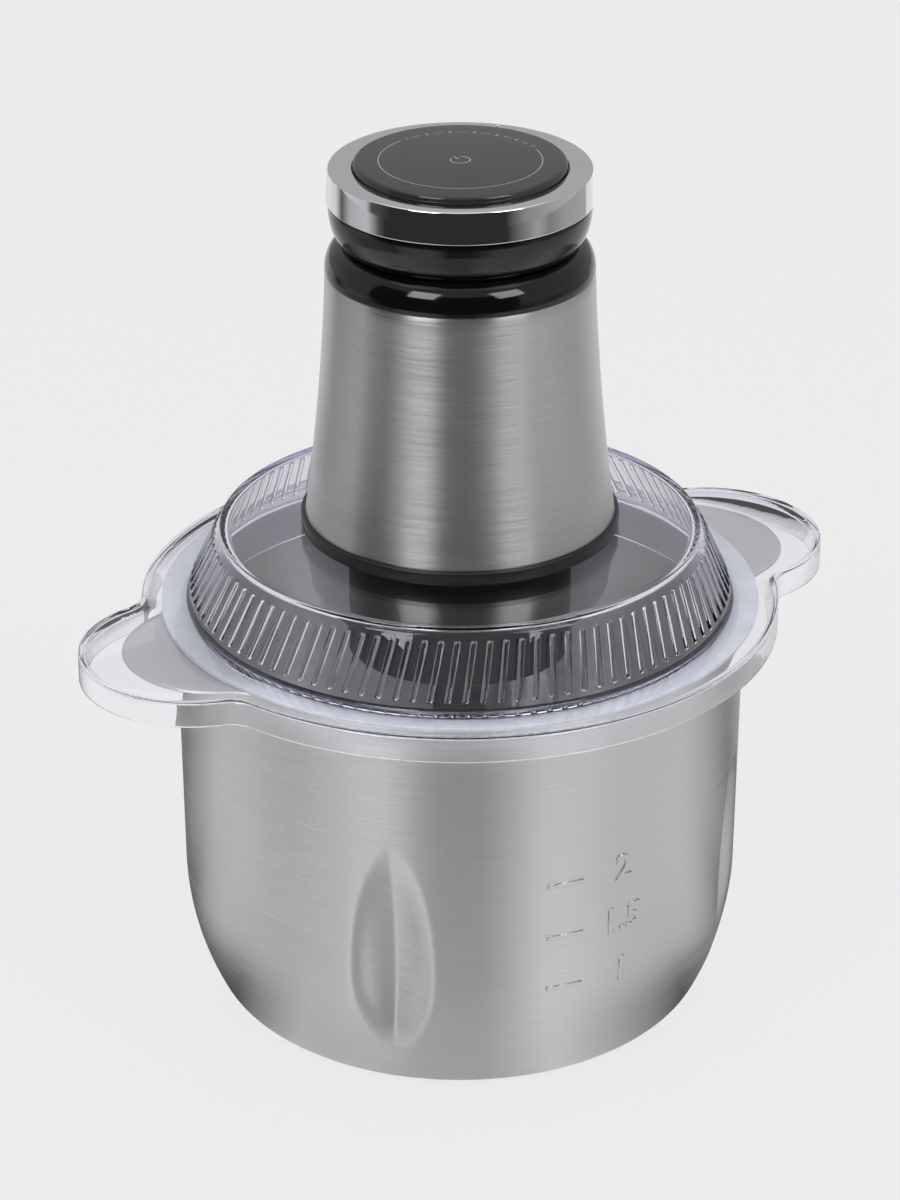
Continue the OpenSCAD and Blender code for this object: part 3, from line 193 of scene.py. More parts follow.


# Five flat rings lie on the table round the object, a dark curtain hangs behind the camera, and a
# narrow band stands round the sleeve. They are no lamps: each glows with tones painted by azimuth and lights
# nothing. Only reflections see them, so they are painted reflections. The bowl mirrors the three near
# rings, the sleeve the middle one, the black gloss the outer one, and the chrome the band.
def glowing_reflection_sheet(name, inner, outer, tones, low=0.003, high=0.003):
    """A glowing ring, seen only in reflections, between two distances from the axis, or a curtain where its
    heights differ. Its tones are pairs of an azimuth from the camera's own and a painted brightness, with a
    ramp from each to the next."""
    finish = new_material(name + "_card")
    place = add(finish, "Mapping", inputs={"Vector": add(finish, "TexCoord").outputs["Object"],
                                           "Rotation": (0, 0, -np.radians(camera_az))})
    around = add(finish, "TexGradient", {"gradient_type": "RADIAL"}, {"Vector": place.outputs[0]})
    ramp = add(finish, "ValToRGB", inputs={0: around.outputs[0]})
    for count, (azimuth, tone) in enumerate(tones):
        at = azimuth / 360 + 0.5
        stop = ramp.color_ramp.elements[0] if count == 0 else ramp.color_ramp.elements.new(at)
        stop.position = at
        stop.color = (tone, tone, tone, 1)
    ramp.color_ramp.elements.remove(ramp.color_ramp.elements[-1])
    to_output(finish, add(finish, "Emission", inputs={"Color": ramp.outputs[0]}).outputs[0])
    steps = 72
    span = np.radians(camera_az + np.linspace(tones[0][0], tones[-1][0], steps + 1))
    rows = np.concatenate([np.stack([far * np.cos(span), far * np.sin(span), np.full(steps + 1, height)], 1)
                           for far, height in ((inner, low), (outer, high))])
    faces = [(k, k + 1, k + steps + 2, k + steps + 1) for k in range(steps)]
    glow_sheet = plain_object(name, rows.tolist(), faces, finish)
    for rays in ("camera", "diffuse", "transmission", "shadow", "volume_scatter"):
        setattr(glow_sheet, "visible_" + rays, False)


glowing_reflection_sheet("foot_ring", 0.06, 0.12, [
    (-180, 0.03), (-68, 0.04), (-55, 0.40), (-42, 0.75), (-9, 0.60), (7, 0.60), (24, 0.85), (42, 0.55),
    (56, 0.30), (68, 0.04), (180, 0.03)])
glowing_reflection_sheet("side_ring", 0.12, 0.17, [
    (-180, 0.04), (-105, 0.05), (-96, 0.40), (-84, 0.75), (-30, 0.85), (-9, 0.60), (7, 0.60), (24, 0.95),
    (80, 0.75), (92, 0.40), (100, 0.05), (180, 0.04)])
glowing_reflection_sheet("inner_ring", 0.17, 0.45, [
    (-180, 0.10), (-128, 0.12), (-112, 0.50), (-98, 0.90), (-70, 0.85), (-50, 0.95), (-26, 0.80),
    (-9, 0.60), (7, 0.60), (24, 0.95), (48, 0.80), (88, 0.90), (102, 0.60), (120, 0.15), (180, 0.10)])
glowing_reflection_sheet("middle_ring", 0.45, 1.05, [
    (-180, 0.50), (-155, 0.85), (-127, 0.55), (-94, 0.42), (-72, 0.42), (-58, 0.30), (-50, 0.75),
    (-26, 0.90), (-18, 0.60), (-10, 0.15), (10, 0.15), (20, 0.40), (32, 0.80), (60, 0.80), (100, 0.70),
    (180, 0.50)])
glowing_reflection_sheet("outer_ring", 1.05, 2.6, [
    (-180, 0.80), (-104, 0.66), (-85, 0.60), (-80, 0.10), (-60, 0.03), (38, 0.03), (56, 0.30), (125, 0.60),
    (180, 0.80)])
glowing_reflection_sheet("curtain", 2.6, 2.6, [(-80, 0.05), (-60, 0.025), (38, 0.025), (50, 0.08)], high=2.4)
glowing_reflection_sheet("ring_card", 0.2, 0.2, [
    (-145, 0.85), (-122, 0.75), (-111, 0.10), (-98, 0.50), (-78, 0.60), (-66, 0.10), (-60, 0.03), (36, 0.03),
    (52, 0.25), (62, 0.40), (74, 0.25), (90, 0.38), (125, 0.45)], low=0.210, high=0.244)


# Bowl: 0.8 mm stainless sheet, deep drawn and brushed as it spins. Wheels with a V edge press four upright
# dents into its wall, which turn the food back, and the edge is folded out to a flat rim with two ears.
def skin(name, points, body, material, capped=False, sharp=50):
    """Joins a grid of points in mm into one closed skin. Columns wrap round. Rows wrap round too, or, where
    the skin is capped, the first and the last row are each closed by a fan round their middle. An edge that
    turns by more than the sharp angle isn't smoothed."""
    rows, columns = points.shape[:2]
    index = np.arange(rows * columns).reshape(rows, columns)
    low = index[:-1] if capped else index
    high = index[1:] if capped else np.roll(index, -1, axis=0)
    faces = np.stack([low, np.roll(low, -1, 1), np.roll(high, -1, 1), high], -1).reshape(-1, 4)
    vertices = points.reshape(-1, 3)
    corners = vertices[faces]
    volume = (corners[:, 0] * np.cross(corners[:, 2] - corners[:, 0], corners[:, 3] - corners[:, 1])).sum()
    fans = np.empty((0, 3), int)
    if capped:
        vertices = np.vstack([vertices, points[[0, -1]].mean(1)])
        first, last = index[0], index[-1]
        pole = np.full(columns, rows * columns)
        fans = np.vstack([np.stack([pole, np.roll(first, -1), first], -1),
                          np.stack([pole + 1, last, np.roll(last, -1)], -1)])
    if volume < 0:
        faces = faces[:, ::-1]
        fans = fans[:, ::-1]
    made = plain_object(name, (vertices * mm).tolist(), faces.tolist() + fans.tolist(), material)
    made.data.shade_smooth()
    made.data.set_sharp_from_angle(angle=np.radians(sharp))
    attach(made, body)
    return made


def arc(middle_r, middle_z, radius_r, radius_z, start, stop, count):
    """Points of an elliptical arc in a section, from one angle to another in degrees."""
    turn = np.radians(np.linspace(start, stop, count))
    return np.stack([middle_r + radius_r * np.cos(turn), middle_z + radius_z * np.sin(turn)], 1)


def line(start, stop, count):
    """Evenly spaced points of a straight stretch of a section, without its last one."""
    return np.linspace(start, stop, count, endpoint=False)


def eared(angle, disc, ear, at, fillet):
    """Distance from the axis to an outline at an angle: a disc with an ear at +X and -X. Near an ear the ray
    meets the ear's far side, and between ear and disc the near side of the fillet that touches both."""
    turn = np.abs((angle + np.pi / 2) % np.pi - np.pi / 2)
    fillet_x = ((disc + fillet) ** 2 + at ** 2 - (ear + fillet) ** 2) / (2 * at)
    fillet_y = np.sqrt((disc + fillet) ** 2 - fillet_x ** 2)
    touch = ear / (ear + fillet)
    ear_end = np.arctan2(fillet_y * touch, at + (fillet_x - at) * touch)
    disc_start = np.arctan2(fillet_y, fillet_x)
    along = fillet_x * np.cos(turn) + fillet_y * np.sin(turn)
    across = fillet_y * np.cos(turn) - fillet_x * np.sin(turn)
    on_ear = at * np.cos(turn) + np.sqrt(np.maximum(ear ** 2 - (at * np.sin(turn)) ** 2, 0))
    on_fillet = along - np.sqrt(np.maximum(fillet ** 2 - across ** 2, 0))
    return np.where(turn < ear_end, on_ear, np.where(turn < disc_start, on_fillet, disc))


def grid_normals(points):
    """Unit normals of a grid, from the cross product of the steps along its columns and rows."""
    across = np.roll(points, -1, 1) - np.roll(points, 1, 1)
    normal = np.cross(across, np.gradient(points, axis=0))
    return normal / np.maximum(np.linalg.norm(normal, axis=-1, keepdims=True), 1e-9)


first_dent = np.radians(49)


def dented(radius, height, angle):
    """Distance from the axis to the wall at a height and angle. A dent's depth is where a wheel, thinner
    towards its edge, reaches deepest: at - sqrt((r - drop)^2 - (z - mid)^2). The drop beside the edge is a
    little of a straight slope and more of a hollow one, (0.35 y + 0.65 y^2 / half) / slope. It depends on the
    distance, so this is found by repeating. Wall and dent blend softly."""
    wheel_r = 121.284
    wheel_at = 207.084
    v_slope = 1.7813
    half_wide = 12.47
    straight = 0.35
    drop_limit = 60
    mid = 48.0
    blend = 3.0
    crease = 0.4
    passes = 12
    off = (angle - first_dent + np.pi / 4) % (np.pi / 2) - np.pi / 4
    found = radius
    for _ in range(passes):
        side = np.sqrt((found * np.sin(off)) ** 2 + crease ** 2) - crease
        drop = (straight * side + (1 - straight) * side ** 2 / half_wide) / v_slope
        reached = np.maximum((wheel_r - np.minimum(drop, drop_limit)) ** 2 - (height - mid) ** 2, 0)
        found = (wheel_at - np.sqrt(reached)) / np.cos(off)
    share = np.clip(0.5 + 0.5 * (found - radius) / blend, 0, 1)
    return found * (1 - share) + radius * share - blend * share * (1 - share)


def brushed_steel(name, colour, streak, rough, stroke):
    """Stainless sheet brushed round its axis: lines 0.5 mm apart, drawn coarser than the real 0.1 mm so that
    they show, with so many strokes to the metre. They lighten, darken and roughen the metal unevenly, and
    spread its gloss upright."""
    lines_to_metre = 1900
    steel = new_material(name)
    place = add(steel, "TexCoord").outputs["Object"]
    drawn_out = add(steel, "Mapping", inputs={"Vector": place, "Scale": (stroke, stroke, lines_to_metre)})
    lines = add(steel, "TexNoise", inputs={"Vector": drawn_out.outputs[0], "Scale": 1.0, "Detail": 3.0,
                                           "Roughness": 0.65})
    tone = add(steel, "MapRange", inputs={0: lines.outputs[0], 1: 0.25, 2: 0.75})
    shade = add(steel, "Mix", {"data_type": "RGBA"}, {0: tone.outputs[0], 6: linear(streak),
                                                      7: linear(colour)})
    gloss = add(steel, "MapRange", inputs={0: lines.outputs[0], 1: 0.3, 2: 0.7, 3: rough - 0.05,
                                           4: rough + 0.07})
    relief = add(steel, "Bump", inputs={"Strength": 0.3, "Distance": 0.00002, "Height": lines.outputs[0]})
    round_axis = add(steel, "Tangent", {"direction_type": "RADIAL", "axis": "Z"})
    metal = add(steel, "BsdfPrincipled", inputs={
        "Base Color": shade.outputs[2], "Metallic": 1.0, "Roughness": gloss.outputs[0], "Anisotropic": 0.95,
        "Anisotropic Rotation": 0.25, "Normal": relief.outputs[0], "Tangent": round_axis.outputs[0]})
    to_output(steel, metal.outputs[0])
    return steel


bowl_steel = brushed_steel("brushed_stainless_bowl", "#DADADA", "#C9C9C9", rough=0.33, stroke=22)
sheet = 0.8
foot_r = 72.34
foot_round = 12
belly_r = 92.8
belly_z = 48
mouth = (93.87, 137.2)
foot_meets_belly = -26.45
dents_above_z = 4
bowl_columns = 384

# The section runs from the floor round the foot and the belly to the mouth. Columns crowd at the dents.
crowding = 0.14
even_az = np.linspace(0, 2 * np.pi, bowl_columns, endpoint=False)
bowl_az = even_az - crowding * np.sin(4 * (even_az - first_dent))
wall = np.concatenate([
    line((6, 0), (foot_r, 0), 7),
    arc(foot_r, foot_round, foot_round, foot_round, -90, foot_meets_belly, 10)[:-1],
    arc(0, belly_z, belly_r, belly_r, foot_meets_belly, 0, 34)[:-1],
    line((belly_r, belly_z), mouth, 62)])
wall_r = dented(wall[:, :1], wall[:, 1:], bowl_az)
wall_r = np.where(wall[:, 1:] < dents_above_z, wall[:, :1], wall_r)
outside = np.stack([wall_r * np.cos(bowl_az), wall_r * np.sin(bowl_az),
                    np.broadcast_to(wall[:, 1:], wall_r.shape)], -1)
outwards = grid_normals(outside)
outwards *= np.sign((outwards[-1] * outside[-1] * (1, 1, 0)).sum(-1).mean())
inside = outside - sheet * outwards

# A row of the rim has a radius, a height, and how far it goes out to the eared outline. The rows of its
# folded edge, which go all the way, have the distance in from that outline in place of the radius.
fold = 0.7
rim_outline = eared(bowl_az, disc=98.0, ear=33.0, at=85.5, fillet=10.0)
rim_under = [(94.1, 137.9, 0), (94.5, 138.2, 0), (94.5, 138.2, 0.4), (94.5, 138.2, 0.8)]
rim_edge = [(fold - r, z, 1) for r, z in arc(0, 138.9, fold, fold, -90, 90, 7)]
rim_over = [(94.6, 139.6, 0.8), (94.6, 139.6, 0.4), (94.3, 139.6, 0), (93.6, 139.45, 0), (93.2, 139.1, 0),
            (93.08, 138.5, 0)]
rim = np.array(rim_under + rim_edge + rim_over)
out_share = rim[:, 2:]
reach_out = np.where(out_share == 1, rim_outline - rim[:, :1],
                     rim[:, :1] * (1 - out_share) + (rim_outline - fold) * out_share)
rim_points = np.stack([reach_out * np.cos(bowl_az), reach_out * np.sin(bowl_az),
                       np.broadcast_to(rim[:, 1:2], reach_out.shape)], -1)
bowl = skin("bowl_shell", np.concatenate([outside, rim_points, inside[::-1]]), "bowl", bowl_steel,
            capped=True)
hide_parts("bowl")


# Fill scale: a short dash and a plain number of litres at three heights. They are pressed out of the sheet,
# almost 0.5 mm proud, with round edges, and brushed with the bowl.
def text_mesh(name, words, size, thick, bevel=0.0):
    """A piece of text as a mesh, laid out flat and centred, its sizes in metres."""
    curve = bpy.data.curves.new(name, "FONT")
    curve.body = words
    curve.size = size
    curve.extrude = thick
    curve.bevel_depth = bevel
    curve.bevel_resolution = 2
    curve.align_x = "CENTER"
    curve.align_y = "CENTER"
    flat = bpy.data.objects.new(name, curve)
    bpy.context.scene.collection.objects.link(flat)
    bpy.context.view_layer.update()
    made = bpy.data.meshes.new_from_object(flat.evaluated_get(bpy.context.evaluated_depsgraph_get()))
    bpy.data.objects.remove(flat, do_unlink=True)
    return made


def on_wall(mesh, azimuth, height):
    """Bends a flat mesh round the bowl's wall: x runs round the axis, y up, and z out from the sheet. The
    wall is a sphere up to its belly, and leans out evenly above it."""
    belly = belly_r * mm
    belly_high = belly_z * mm
    lean_out = 0.012
    flat = np.empty(len(mesh.vertices) * 3)
    mesh.vertices.foreach_get("co", flat)
    flat = flat.reshape(-1, 3)
    up = flat[:, 1] + height
    radius = belly + np.maximum(up - belly_high, 0) * lean_out
    radius = np.where(up < belly_high, np.sqrt(belly ** 2 - (up - belly_high) ** 2), radius)
    turn = np.radians(azimuth) + flat[:, 0] / belly
    out_to = radius + flat[:, 2]
    bent = np.stack([out_to * np.cos(turn), out_to * np.sin(turn), up], 1)
    mesh.vertices.foreach_set("co", bent.ravel())
    mesh.update()


def marking(name, mesh, material, body):
    """Makes a piece of a mesh of text that is already in its place."""
    mesh.materials.clear()
    mesh.materials.append(material)
    made = bpy.data.objects.new(name, mesh)
    bpy.context.scene.collection.objects.link(made)
    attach(made, body)


for mark_z, litres in zip((43, 62, 81), ("1", "1.5", "2")):
    for kind, words, size, azimuth in (("fill_number_", litres, 0.0125, -83),
                                       ("fill_dash_", "—", 0.0115, -96)):
        pressed = text_mesh(kind + litres, words, size, thick=0.0001, bevel=0.00036)
        on_wall(pressed, azimuth, mark_z * mm)
        pressed.shade_smooth()
        marking((kind + litres).replace(".", "_"), pressed, bowl_steel, "bowl")


# Lid seal: one ring of milky silicone, moulded, with a flange that lies on the rim and a plug with two lips
# that grips the bowl's mouth. It is slipped on the lid's plug wall.
def worked(name, colour, other, rough, grain, metal=0.0, relief=0.01, stretch=(1, 1, 1), spread=0.06,
           more=None):
    """A finish that wanders between two colours with a noise of a grain size in mm, and gets rougher and
    smoother by the spread with it. The relief is in mm too. Where stretch is less than 1, the grain is
    drawn out along that axis."""
    finish = new_material(name)
    place = add(finish, "Mapping", inputs={"Vector": add(finish, "TexCoord").outputs["Object"],
                                           "Scale": stretch})
    noise = add(finish, "TexNoise", inputs={"Vector": place.outputs[0], "Scale": 1000 / grain,
                                            "Detail": 4.0})
    tone = add(finish, "Mix", {"data_type": "RGBA"}, {
        0: add(finish, "MapRange", inputs={0: noise.outputs[0], 1: 0.3, 2: 0.7}).outputs[0],
        6: linear(other), 7: linear(colour)})
    gloss = add(finish, "MapRange", inputs={0: noise.outputs[0], 1: 0.3, 2: 0.7, 3: rough - spread,
                                            4: rough + spread})
    bump = add(finish, "Bump", inputs={"Strength": 0.5, "Distance": relief * mm,
                                       "Height": noise.outputs[0]})
    shader = add(finish, "BsdfPrincipled", inputs={
        "Base Color": tone.outputs[2], "Metallic": metal, "Roughness": gloss.outputs[0],
        "Normal": bump.outputs[0], **(more or {})})
    to_output(finish, shader.outputs[0])
    return finish


def turned(name, corners, ease, body, material, columns=288, steps=6, sharp=35):
    """A solid of revolution from the corners of its closed section in mm. Each corner is eased: it becomes
    the curve (1-t)^2 A + 2t(1-t) P + t^2 B between the points A and B at the ease's distance from P."""
    corner = np.asarray(corners, float)
    before = np.roll(corner, 1, 0) - corner
    after = np.roll(corner, -1, 0) - corner
    before_len = np.linalg.norm(before, axis=1, keepdims=True)
    after_len = np.linalg.norm(after, axis=1, keepdims=True)
    cut = np.minimum(np.broadcast_to(ease, len(corner))[:, None], 0.45 * np.minimum(before_len, after_len))
    start = corner + before / before_len * cut
    stop = corner + after / after_len * cut
    t = np.linspace(0, 1, steps)[None, :, None]
    section = ((1 - t) ** 2 * start[:, None] + 2 * t * (1 - t) * corner[:, None] + t ** 2 * stop[:, None])
    section = section.reshape(-1, 2)
    section = section[np.linalg.norm(section - np.roll(section, 1, 0), axis=1) > 1e-4]
    turn = np.linspace(0, 2 * np.pi, columns, endpoint=False)
    points = np.stack([section[:, :1] * np.cos(turn), section[:, :1] * np.sin(turn),
                       np.broadcast_to(section[:, 1:], (len(section), columns))], -1)
    return skin(name, points, body, material, sharp=sharp)


# Light sinks a few millimetres into silicone, which gives its cloudy, waxy white.
silicone = worked("milky_silicone", "#D2D7DC", "#C3C9CE", 0.42, 9.0, relief=0.05, more={
    "Subsurface Weight": 0.25, "Subsurface Radius": (0.004, 0.004, 0.005), "Subsurface Scale": 0.5})
seal = turned("seal_ring", [
    (88.65, 129), (92.3, 129), (92.3, 130.4), (92.8, 131.1), (92.3, 131.8), (92.3, 134.6), (92.8, 135.3),
    (92.3, 136), (92.3, 139.6), (98.5, 139.6), (98.5, 141.1), (88.65, 141.1)],
    0.3, "lid", silicone, steps=4)
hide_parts("lid_seal")

# Lid: one clear moulding of styrene acrylonitrile, 2.5 mm thick. A hundred slanted ribs with round ends
# stand on its sloped wall for grip. It drops over the rim on the seal. Places up the wall are in mm from
# its foot, and a rib runs straight between rib_from and rib_to.
slope_foot = (89.7, 143)
slope_run = 10.3
slope_rise = 23
slope_len = np.hypot(slope_run, slope_rise)
rib_count = 100
rib_half = 1.05
rib_high = 0.85
rib_lean = 4.0
rib_from = 3.95
rib_to = 21.4
off_rib = 9.0
across_rib = np.array([-1.05, -0.97, -0.8, -0.42, 0, 0.42, 0.8, 0.97, 1.05, off_rib])
wall_mid_r = 84.55


def turned_corner(start, corner, stop, ease, count):
    """Points of an eased corner: the same curve as in a turned section, at one corner alone."""
    start, corner, stop = (np.array(point, float) for point in (start, corner, stop))
    first = corner + (start - corner) / np.linalg.norm(start - corner) * ease
    last = corner + (stop - corner) / np.linalg.norm(stop - corner) * ease
    t = np.linspace(0, 1, count)[:, None]
    return [tuple(point) for point in (1 - t) ** 2 * first + 2 * t * (1 - t) * corner + t ** 2 * last]


def lid_rows():
    """The lid's closed section as rows of radius, height, pull towards the eared outline, and inset from that
    outline, from the hole over the top and back below. Each row's mark is its place up the sloped wall in
    mm, or minus one where it isn't on it. Rows crowd where the ribs' ends rise."""
    foot_r, foot_z = slope_foot
    top = [(36.8, 165.5), (36.8, 167.1), (36.92, 167.4), (37.25, 167.5)]
    top += [(45, 167.5), (56, 167.5), (67, 167.5)]
    top += turned_corner((70, 167.5), (78.73, 167.5), slope_foot, 0.7, 7)
    up_wall = np.concatenate([[23.2], [22.45, 22.3, 22.1, 21.75, 21.4], np.linspace(20, 5, 8),
                              [3.9, 3.5, 3.25, 3.05, 2.9], [1.6]])
    slope = [(foot_r - slope_run * s / slope_len, foot_z + slope_rise * s / slope_len) for s in up_wall]
    flange = turned_corner(slope[-1], slope_foot, (95, 143), 0.7, 4) + [(92, 143)]
    edge = [(92, 143, 0.5, 1.0)] + [(0, 142.2 + z, 1, 0.8 - r) for r, z in arc(0, 0, 0.8, 0.8, 90, 0, 5)]
    edge += [(0, 138, 1, 0)] + [(0, 133.7 + z, 1, 0.2 - r) for r, z in arc(0, 0, 0.2, 0.2, 0, -90, 4)]
    edge += [(0, 133.7 + z, 1, 1.6 - r) for r, z in arc(0, 0, 0.2, 0.2, -90, -180, 4)]
    edge += [(0, 140.6, 1, 1.8), (0, 141.0, 1, 1.98), (0, 141.2, 1, 2.4), (90, 141.2, 0.5, 2.4)]
    under = [(89.2, 141.2), (88.75, 141.05), (88.6, 140.6), (88.6, 129.5), (88.45, 129.15), (88.1, 129),
             (86.5, 129), (86.12, 129.15), (85.97, 129.5), (85.97, 141.0), (86.96, 143)]
    under += turned_corner((86.96, 143), (76.66, 165), (70, 165), 1.6, 6)
    under += [(67, 165), (56, 165), (45, 165), (37.25, 165), (36.92, 165.1)]
    round_rows = [[(r, z, 0, 0) for r, z in part] for part in (top, slope, flange, under)]
    rows = round_rows[0] + round_rows[1] + round_rows[2] + edge + round_rows[3]
    marks = [-1.0] * len(top) + list(up_wall) + [-1.0] * (len(flange) + len(edge) + len(under))
    return np.array(rows), np.array(marks)


# The columns stand close on each rib, with one more in the middle of the gap beside it. They lean with the
# ribs up the wall and turn back over the plate.
section, along = lid_rows()
on_slope = along >= 0
first_slope, last_slope = np.flatnonzero(on_slope)[[0, -1]]
lean = np.where(on_slope, (along / slope_len - 0.5) * rib_lean / wall_mid_r, 0)
lean[:first_slope] = np.linspace(-0.5, 0.5, first_slope) * rib_lean / wall_mid_r
lean[last_slope + 1:] = -0.5 * rib_lean / wall_mid_r
row_r = np.where(on_slope, section[:, 0], wall_mid_r)
rib_az = np.arange(rib_count) * 2 * np.pi / rib_count
column_az = np.where(across_rib <= rib_half, across_rib[None] / row_r[:, None], np.pi / rib_count)
lid_az = (lean[:, None, None] + rib_az[None, :, None] + column_az[:, None, :]).reshape(len(section), -1)
past_end = np.maximum(0, rib_from - along) + np.maximum(0, along - rib_to)
off_axis = np.tile(across_rib, rib_count)[None]
rise = rib_high * np.sqrt(np.maximum(0, 1 - (off_axis ** 2 + past_end[:, None] ** 2) / rib_half ** 2))
rise *= on_slope[:, None]
pull = section[:, 2:3]
inset = section[:, 3:]
lid_outline = eared(lid_az, disc=105 - inset, ear=38 - inset, at=95.0, fillet=10 + inset)
lid_r = section[:, :1] * (1 - pull) + lid_outline * pull + rise * slope_rise / slope_len
lid_z = section[:, 1:2] + rise * slope_run / slope_len

# The plastic is clear and glossy, barely wavy from its mould, and faintly violet where it is seen edge on.
# Its shadow is almost as bright as the light round it.
clear = new_material("clear_styrene_acrylonitrile")
clear_noise = add(clear, "TexNoise", inputs={"Vector": add(clear, "TexCoord").outputs["Object"],
                                             "Scale": 45.0})
clear_bump = add(clear, "Bump", inputs={"Strength": 0.2, "Distance": 0.00002,
                                        "Height": clear_noise.outputs[0]})
clear_gloss = add(clear, "MapRange", inputs={0: clear_noise.outputs[0], 3: 0.0, 4: 0.008})
clear_shader = add(clear, "BsdfPrincipled", inputs={
    "Base Color": linear("#FDFDFF"), "Roughness": clear_gloss.outputs[0], "IOR": 1.57,
    "Transmission Weight": 1.0, "Normal": clear_bump.outputs[0]})
clear_pass = add(clear, "BsdfTransparent", inputs={"Color": linear("#F4F4F4")})
clear_mix = add(clear, "MixShader", inputs={0: add(clear, "LightPath").outputs["Is Shadow Ray"],
                                            1: clear_shader.outputs[0], 2: clear_pass.outputs[0]})
to_output(clear, clear_mix.outputs[0])
edge_tint = add(clear, "VolumeAbsorption", inputs={"Color": linear("#9C90E8"), "Density": 16.0})
to_output(clear, edge_tint.outputs[0], "Volume")
lid_points = np.stack([lid_r * np.cos(lid_az), lid_r * np.sin(lid_az), lid_z], -1)
lid = skin("lid_moulding", lid_points, "lid", clear, sharp=42)
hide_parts("lid")

# Base housing: one black moulding with a fine satin grain from its mould. Its ring stands on the lid, its
# neck hangs through the lid and holds the gearbox, and four screws are driven into it from below.
satin_black = worked("satin_black_moulding", "#131313", "#0E0E0F", 0.34, 0.9, relief=0.008, spread=0.03)


def cut_away(piece, tool):
    """Takes the space of a tool object out of a piece and removes the tool."""
    cut = piece.modifiers.new("cut", "BOOLEAN")
    cut.operation = "DIFFERENCE"
    cut.solver = "EXACT"
    cut.object = tool
    bpy.context.view_layer.update()
    view = bpy.context.evaluated_depsgraph_get()
    finished = bpy.data.meshes.new_from_object(piece.evaluated_get(view))
    piece.modifiers.remove(cut)
    piece.data = finished
    bpy.data.objects.remove(tool, do_unlink=True)


def rod(radius, start, stop, sides=48):
    """A straight round tool between two points in mm, with an end cap at each end."""
    start, stop = Vector(start), Vector(stop)
    turn = np.linspace(0, 2 * np.pi, sides, endpoint=False)
    ring = np.stack([radius * np.cos(turn), radius * np.sin(turn), np.zeros(sides)], 1)
    rings = np.concatenate([ring, ring + (0, 0, (stop - start).length)])
    frame_of_rod = (stop - start).to_track_quat("Z", "Y").to_matrix()
    placed = rings @ np.array(frame_of_rod).T + np.array(start)
    walls = [(k, (k + 1) % sides, sides + (k + 1) % sides, sides + k) for k in range(sides)]
    ends = [tuple(range(sides))[::-1], tuple(range(sides, 2 * sides))]
    return plain_object("tool", (placed * mm).tolist(), walls + ends, satin_black)


housing = turned("base_moulding", [
    (15, 126), (36.5, 126), (36.5, 168.5), (44, 168.5), (44, 167.5), (49, 167.5), (49, 168.5), (52, 168.5),
    (52, 173), (48.84, 173), (48.84, 177), (46.84, 177), (46.84, 171.5), (34, 171.5), (34, 155.3),
    (31.8, 155.3), (31.8, 128.5), (17, 128.5), (17, 147), (11.5, 147), (11.5, 151.5), (9, 151.5), (9, 144),
    (15, 144)],
    [0.5, 1.2, 0.4, 0.3, 0.3, 0.3, 0.3, 0.6, 0.9] + [0.3] * 15, "motor_unit", satin_black,
    steps=5)

# Each screw has a pocket for its head and a hole for its shank, cut from below the ring.
screw_circle = 40
holes_from = 160
for screw_turn in range(4):
    screw_az = screw_turn * np.pi / 2
    across = screw_circle * np.array([np.cos(screw_az), np.sin(screw_az)])
    for hole_r, hole_top in ((3.0, 170.3), (1.7, 175)):
        cut_away(housing, rod(hole_r, (*across, holes_from), (*across, hole_top)))
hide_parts("base_housing")

# Sleeve: a 0.8 mm stainless tube, flared towards its foot and brushed round. It is held between base ring
# and shoulder, and the rubber bush for the cord sits in a hole at its back.
sleeve_foot = 173
sleeve_top = 256
sleeve_top_r = 43.2
sleeve_flare = 7.3
tube_wall = 0.8
foot_clearance = 0.02


def sleeve_radius(height):
    """Outer radius of the sleeve at a height: 43.2 + 7.3 (0.39 u + 0.61 u^2), with u from 0 on top to 1."""
    share = (sleeve_top - height) / (sleeve_top - sleeve_foot)
    return sleeve_top_r + sleeve_flare * (0.39 * share + 0.61 * share ** 2)


sleeve_steel = brushed_steel("brushed_stainless_sleeve", "#CDCDCD", "#B6B6B7", rough=0.33, stroke=45)
sleeve_z = np.linspace(sleeve_foot + foot_clearance, sleeve_top, 22)
sleeve_out = np.stack([sleeve_radius(sleeve_z), sleeve_z], 1)
sleeve_in = (sleeve_out - (tube_wall, 0))[::-1]
sleeve = turned("sleeve_tube", np.concatenate([sleeve_out, [(42.95, 256.1), (42.6, 256.1)], sleeve_in]), 0.05,
                "motor_unit", sleeve_steel, columns=320, steps=2)
gland_az = np.radians(55)
gland_hole_r = 6.5
gland_low, gland_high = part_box("cord_gland")
gland_z = (gland_low.z + gland_high.z) / 2 / mm
towards = np.array([np.cos(gland_az), np.sin(gland_az)])
cut_away(sleeve, rod(gland_hole_r, (*(towards * 30), gland_z), (*(towards * 60), gland_z)))
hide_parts("steel_sleeve")

# Shoulder and cup: two mouldings in polished black, which mirrors the room in long clean streaks. They meet
# at the waist. The shoulder closes the sleeve, and the cup carries the deck with the controls.
gloss_black = worked("polished_black_moulding", "#0B0B0C", "#09090A", 0.075, 14.0, relief=0.03, spread=0.02,
                     more={"IOR": 1.5})
shoulder = turned("shoulder_moulding", np.concatenate([
    [(39.2, 250), (42.1, 250), (42.1, 256), (43.3, 256)], arc(36.5, 257, 6.8, 9, 0, 90, 26),
    [(32.9, 266), (32.9, 268), (30.9, 268), (30.9, 264)], arc(35.5, 256, 3.7, 8, 90, 0, 14)]),
    0.12, "motor_unit", gloss_black, steps=3)
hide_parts("shoulder")
cup = turned("cup_moulding", np.concatenate([
    [(33, 266)], arc(36.5, 278.5, 5.5, 12.5, -90, 0, 30),
    [(42, 279.3), (40, 279.3), (40, 276.5), (37.6, 276.5), (37.6, 275)],
    arc(34.5, 275.1, 3.1, 7.1, 0, -90, 10), [(33, 268)]]),
    0.12, "motor_unit", gloss_black, steps=3)
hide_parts("head_cup")

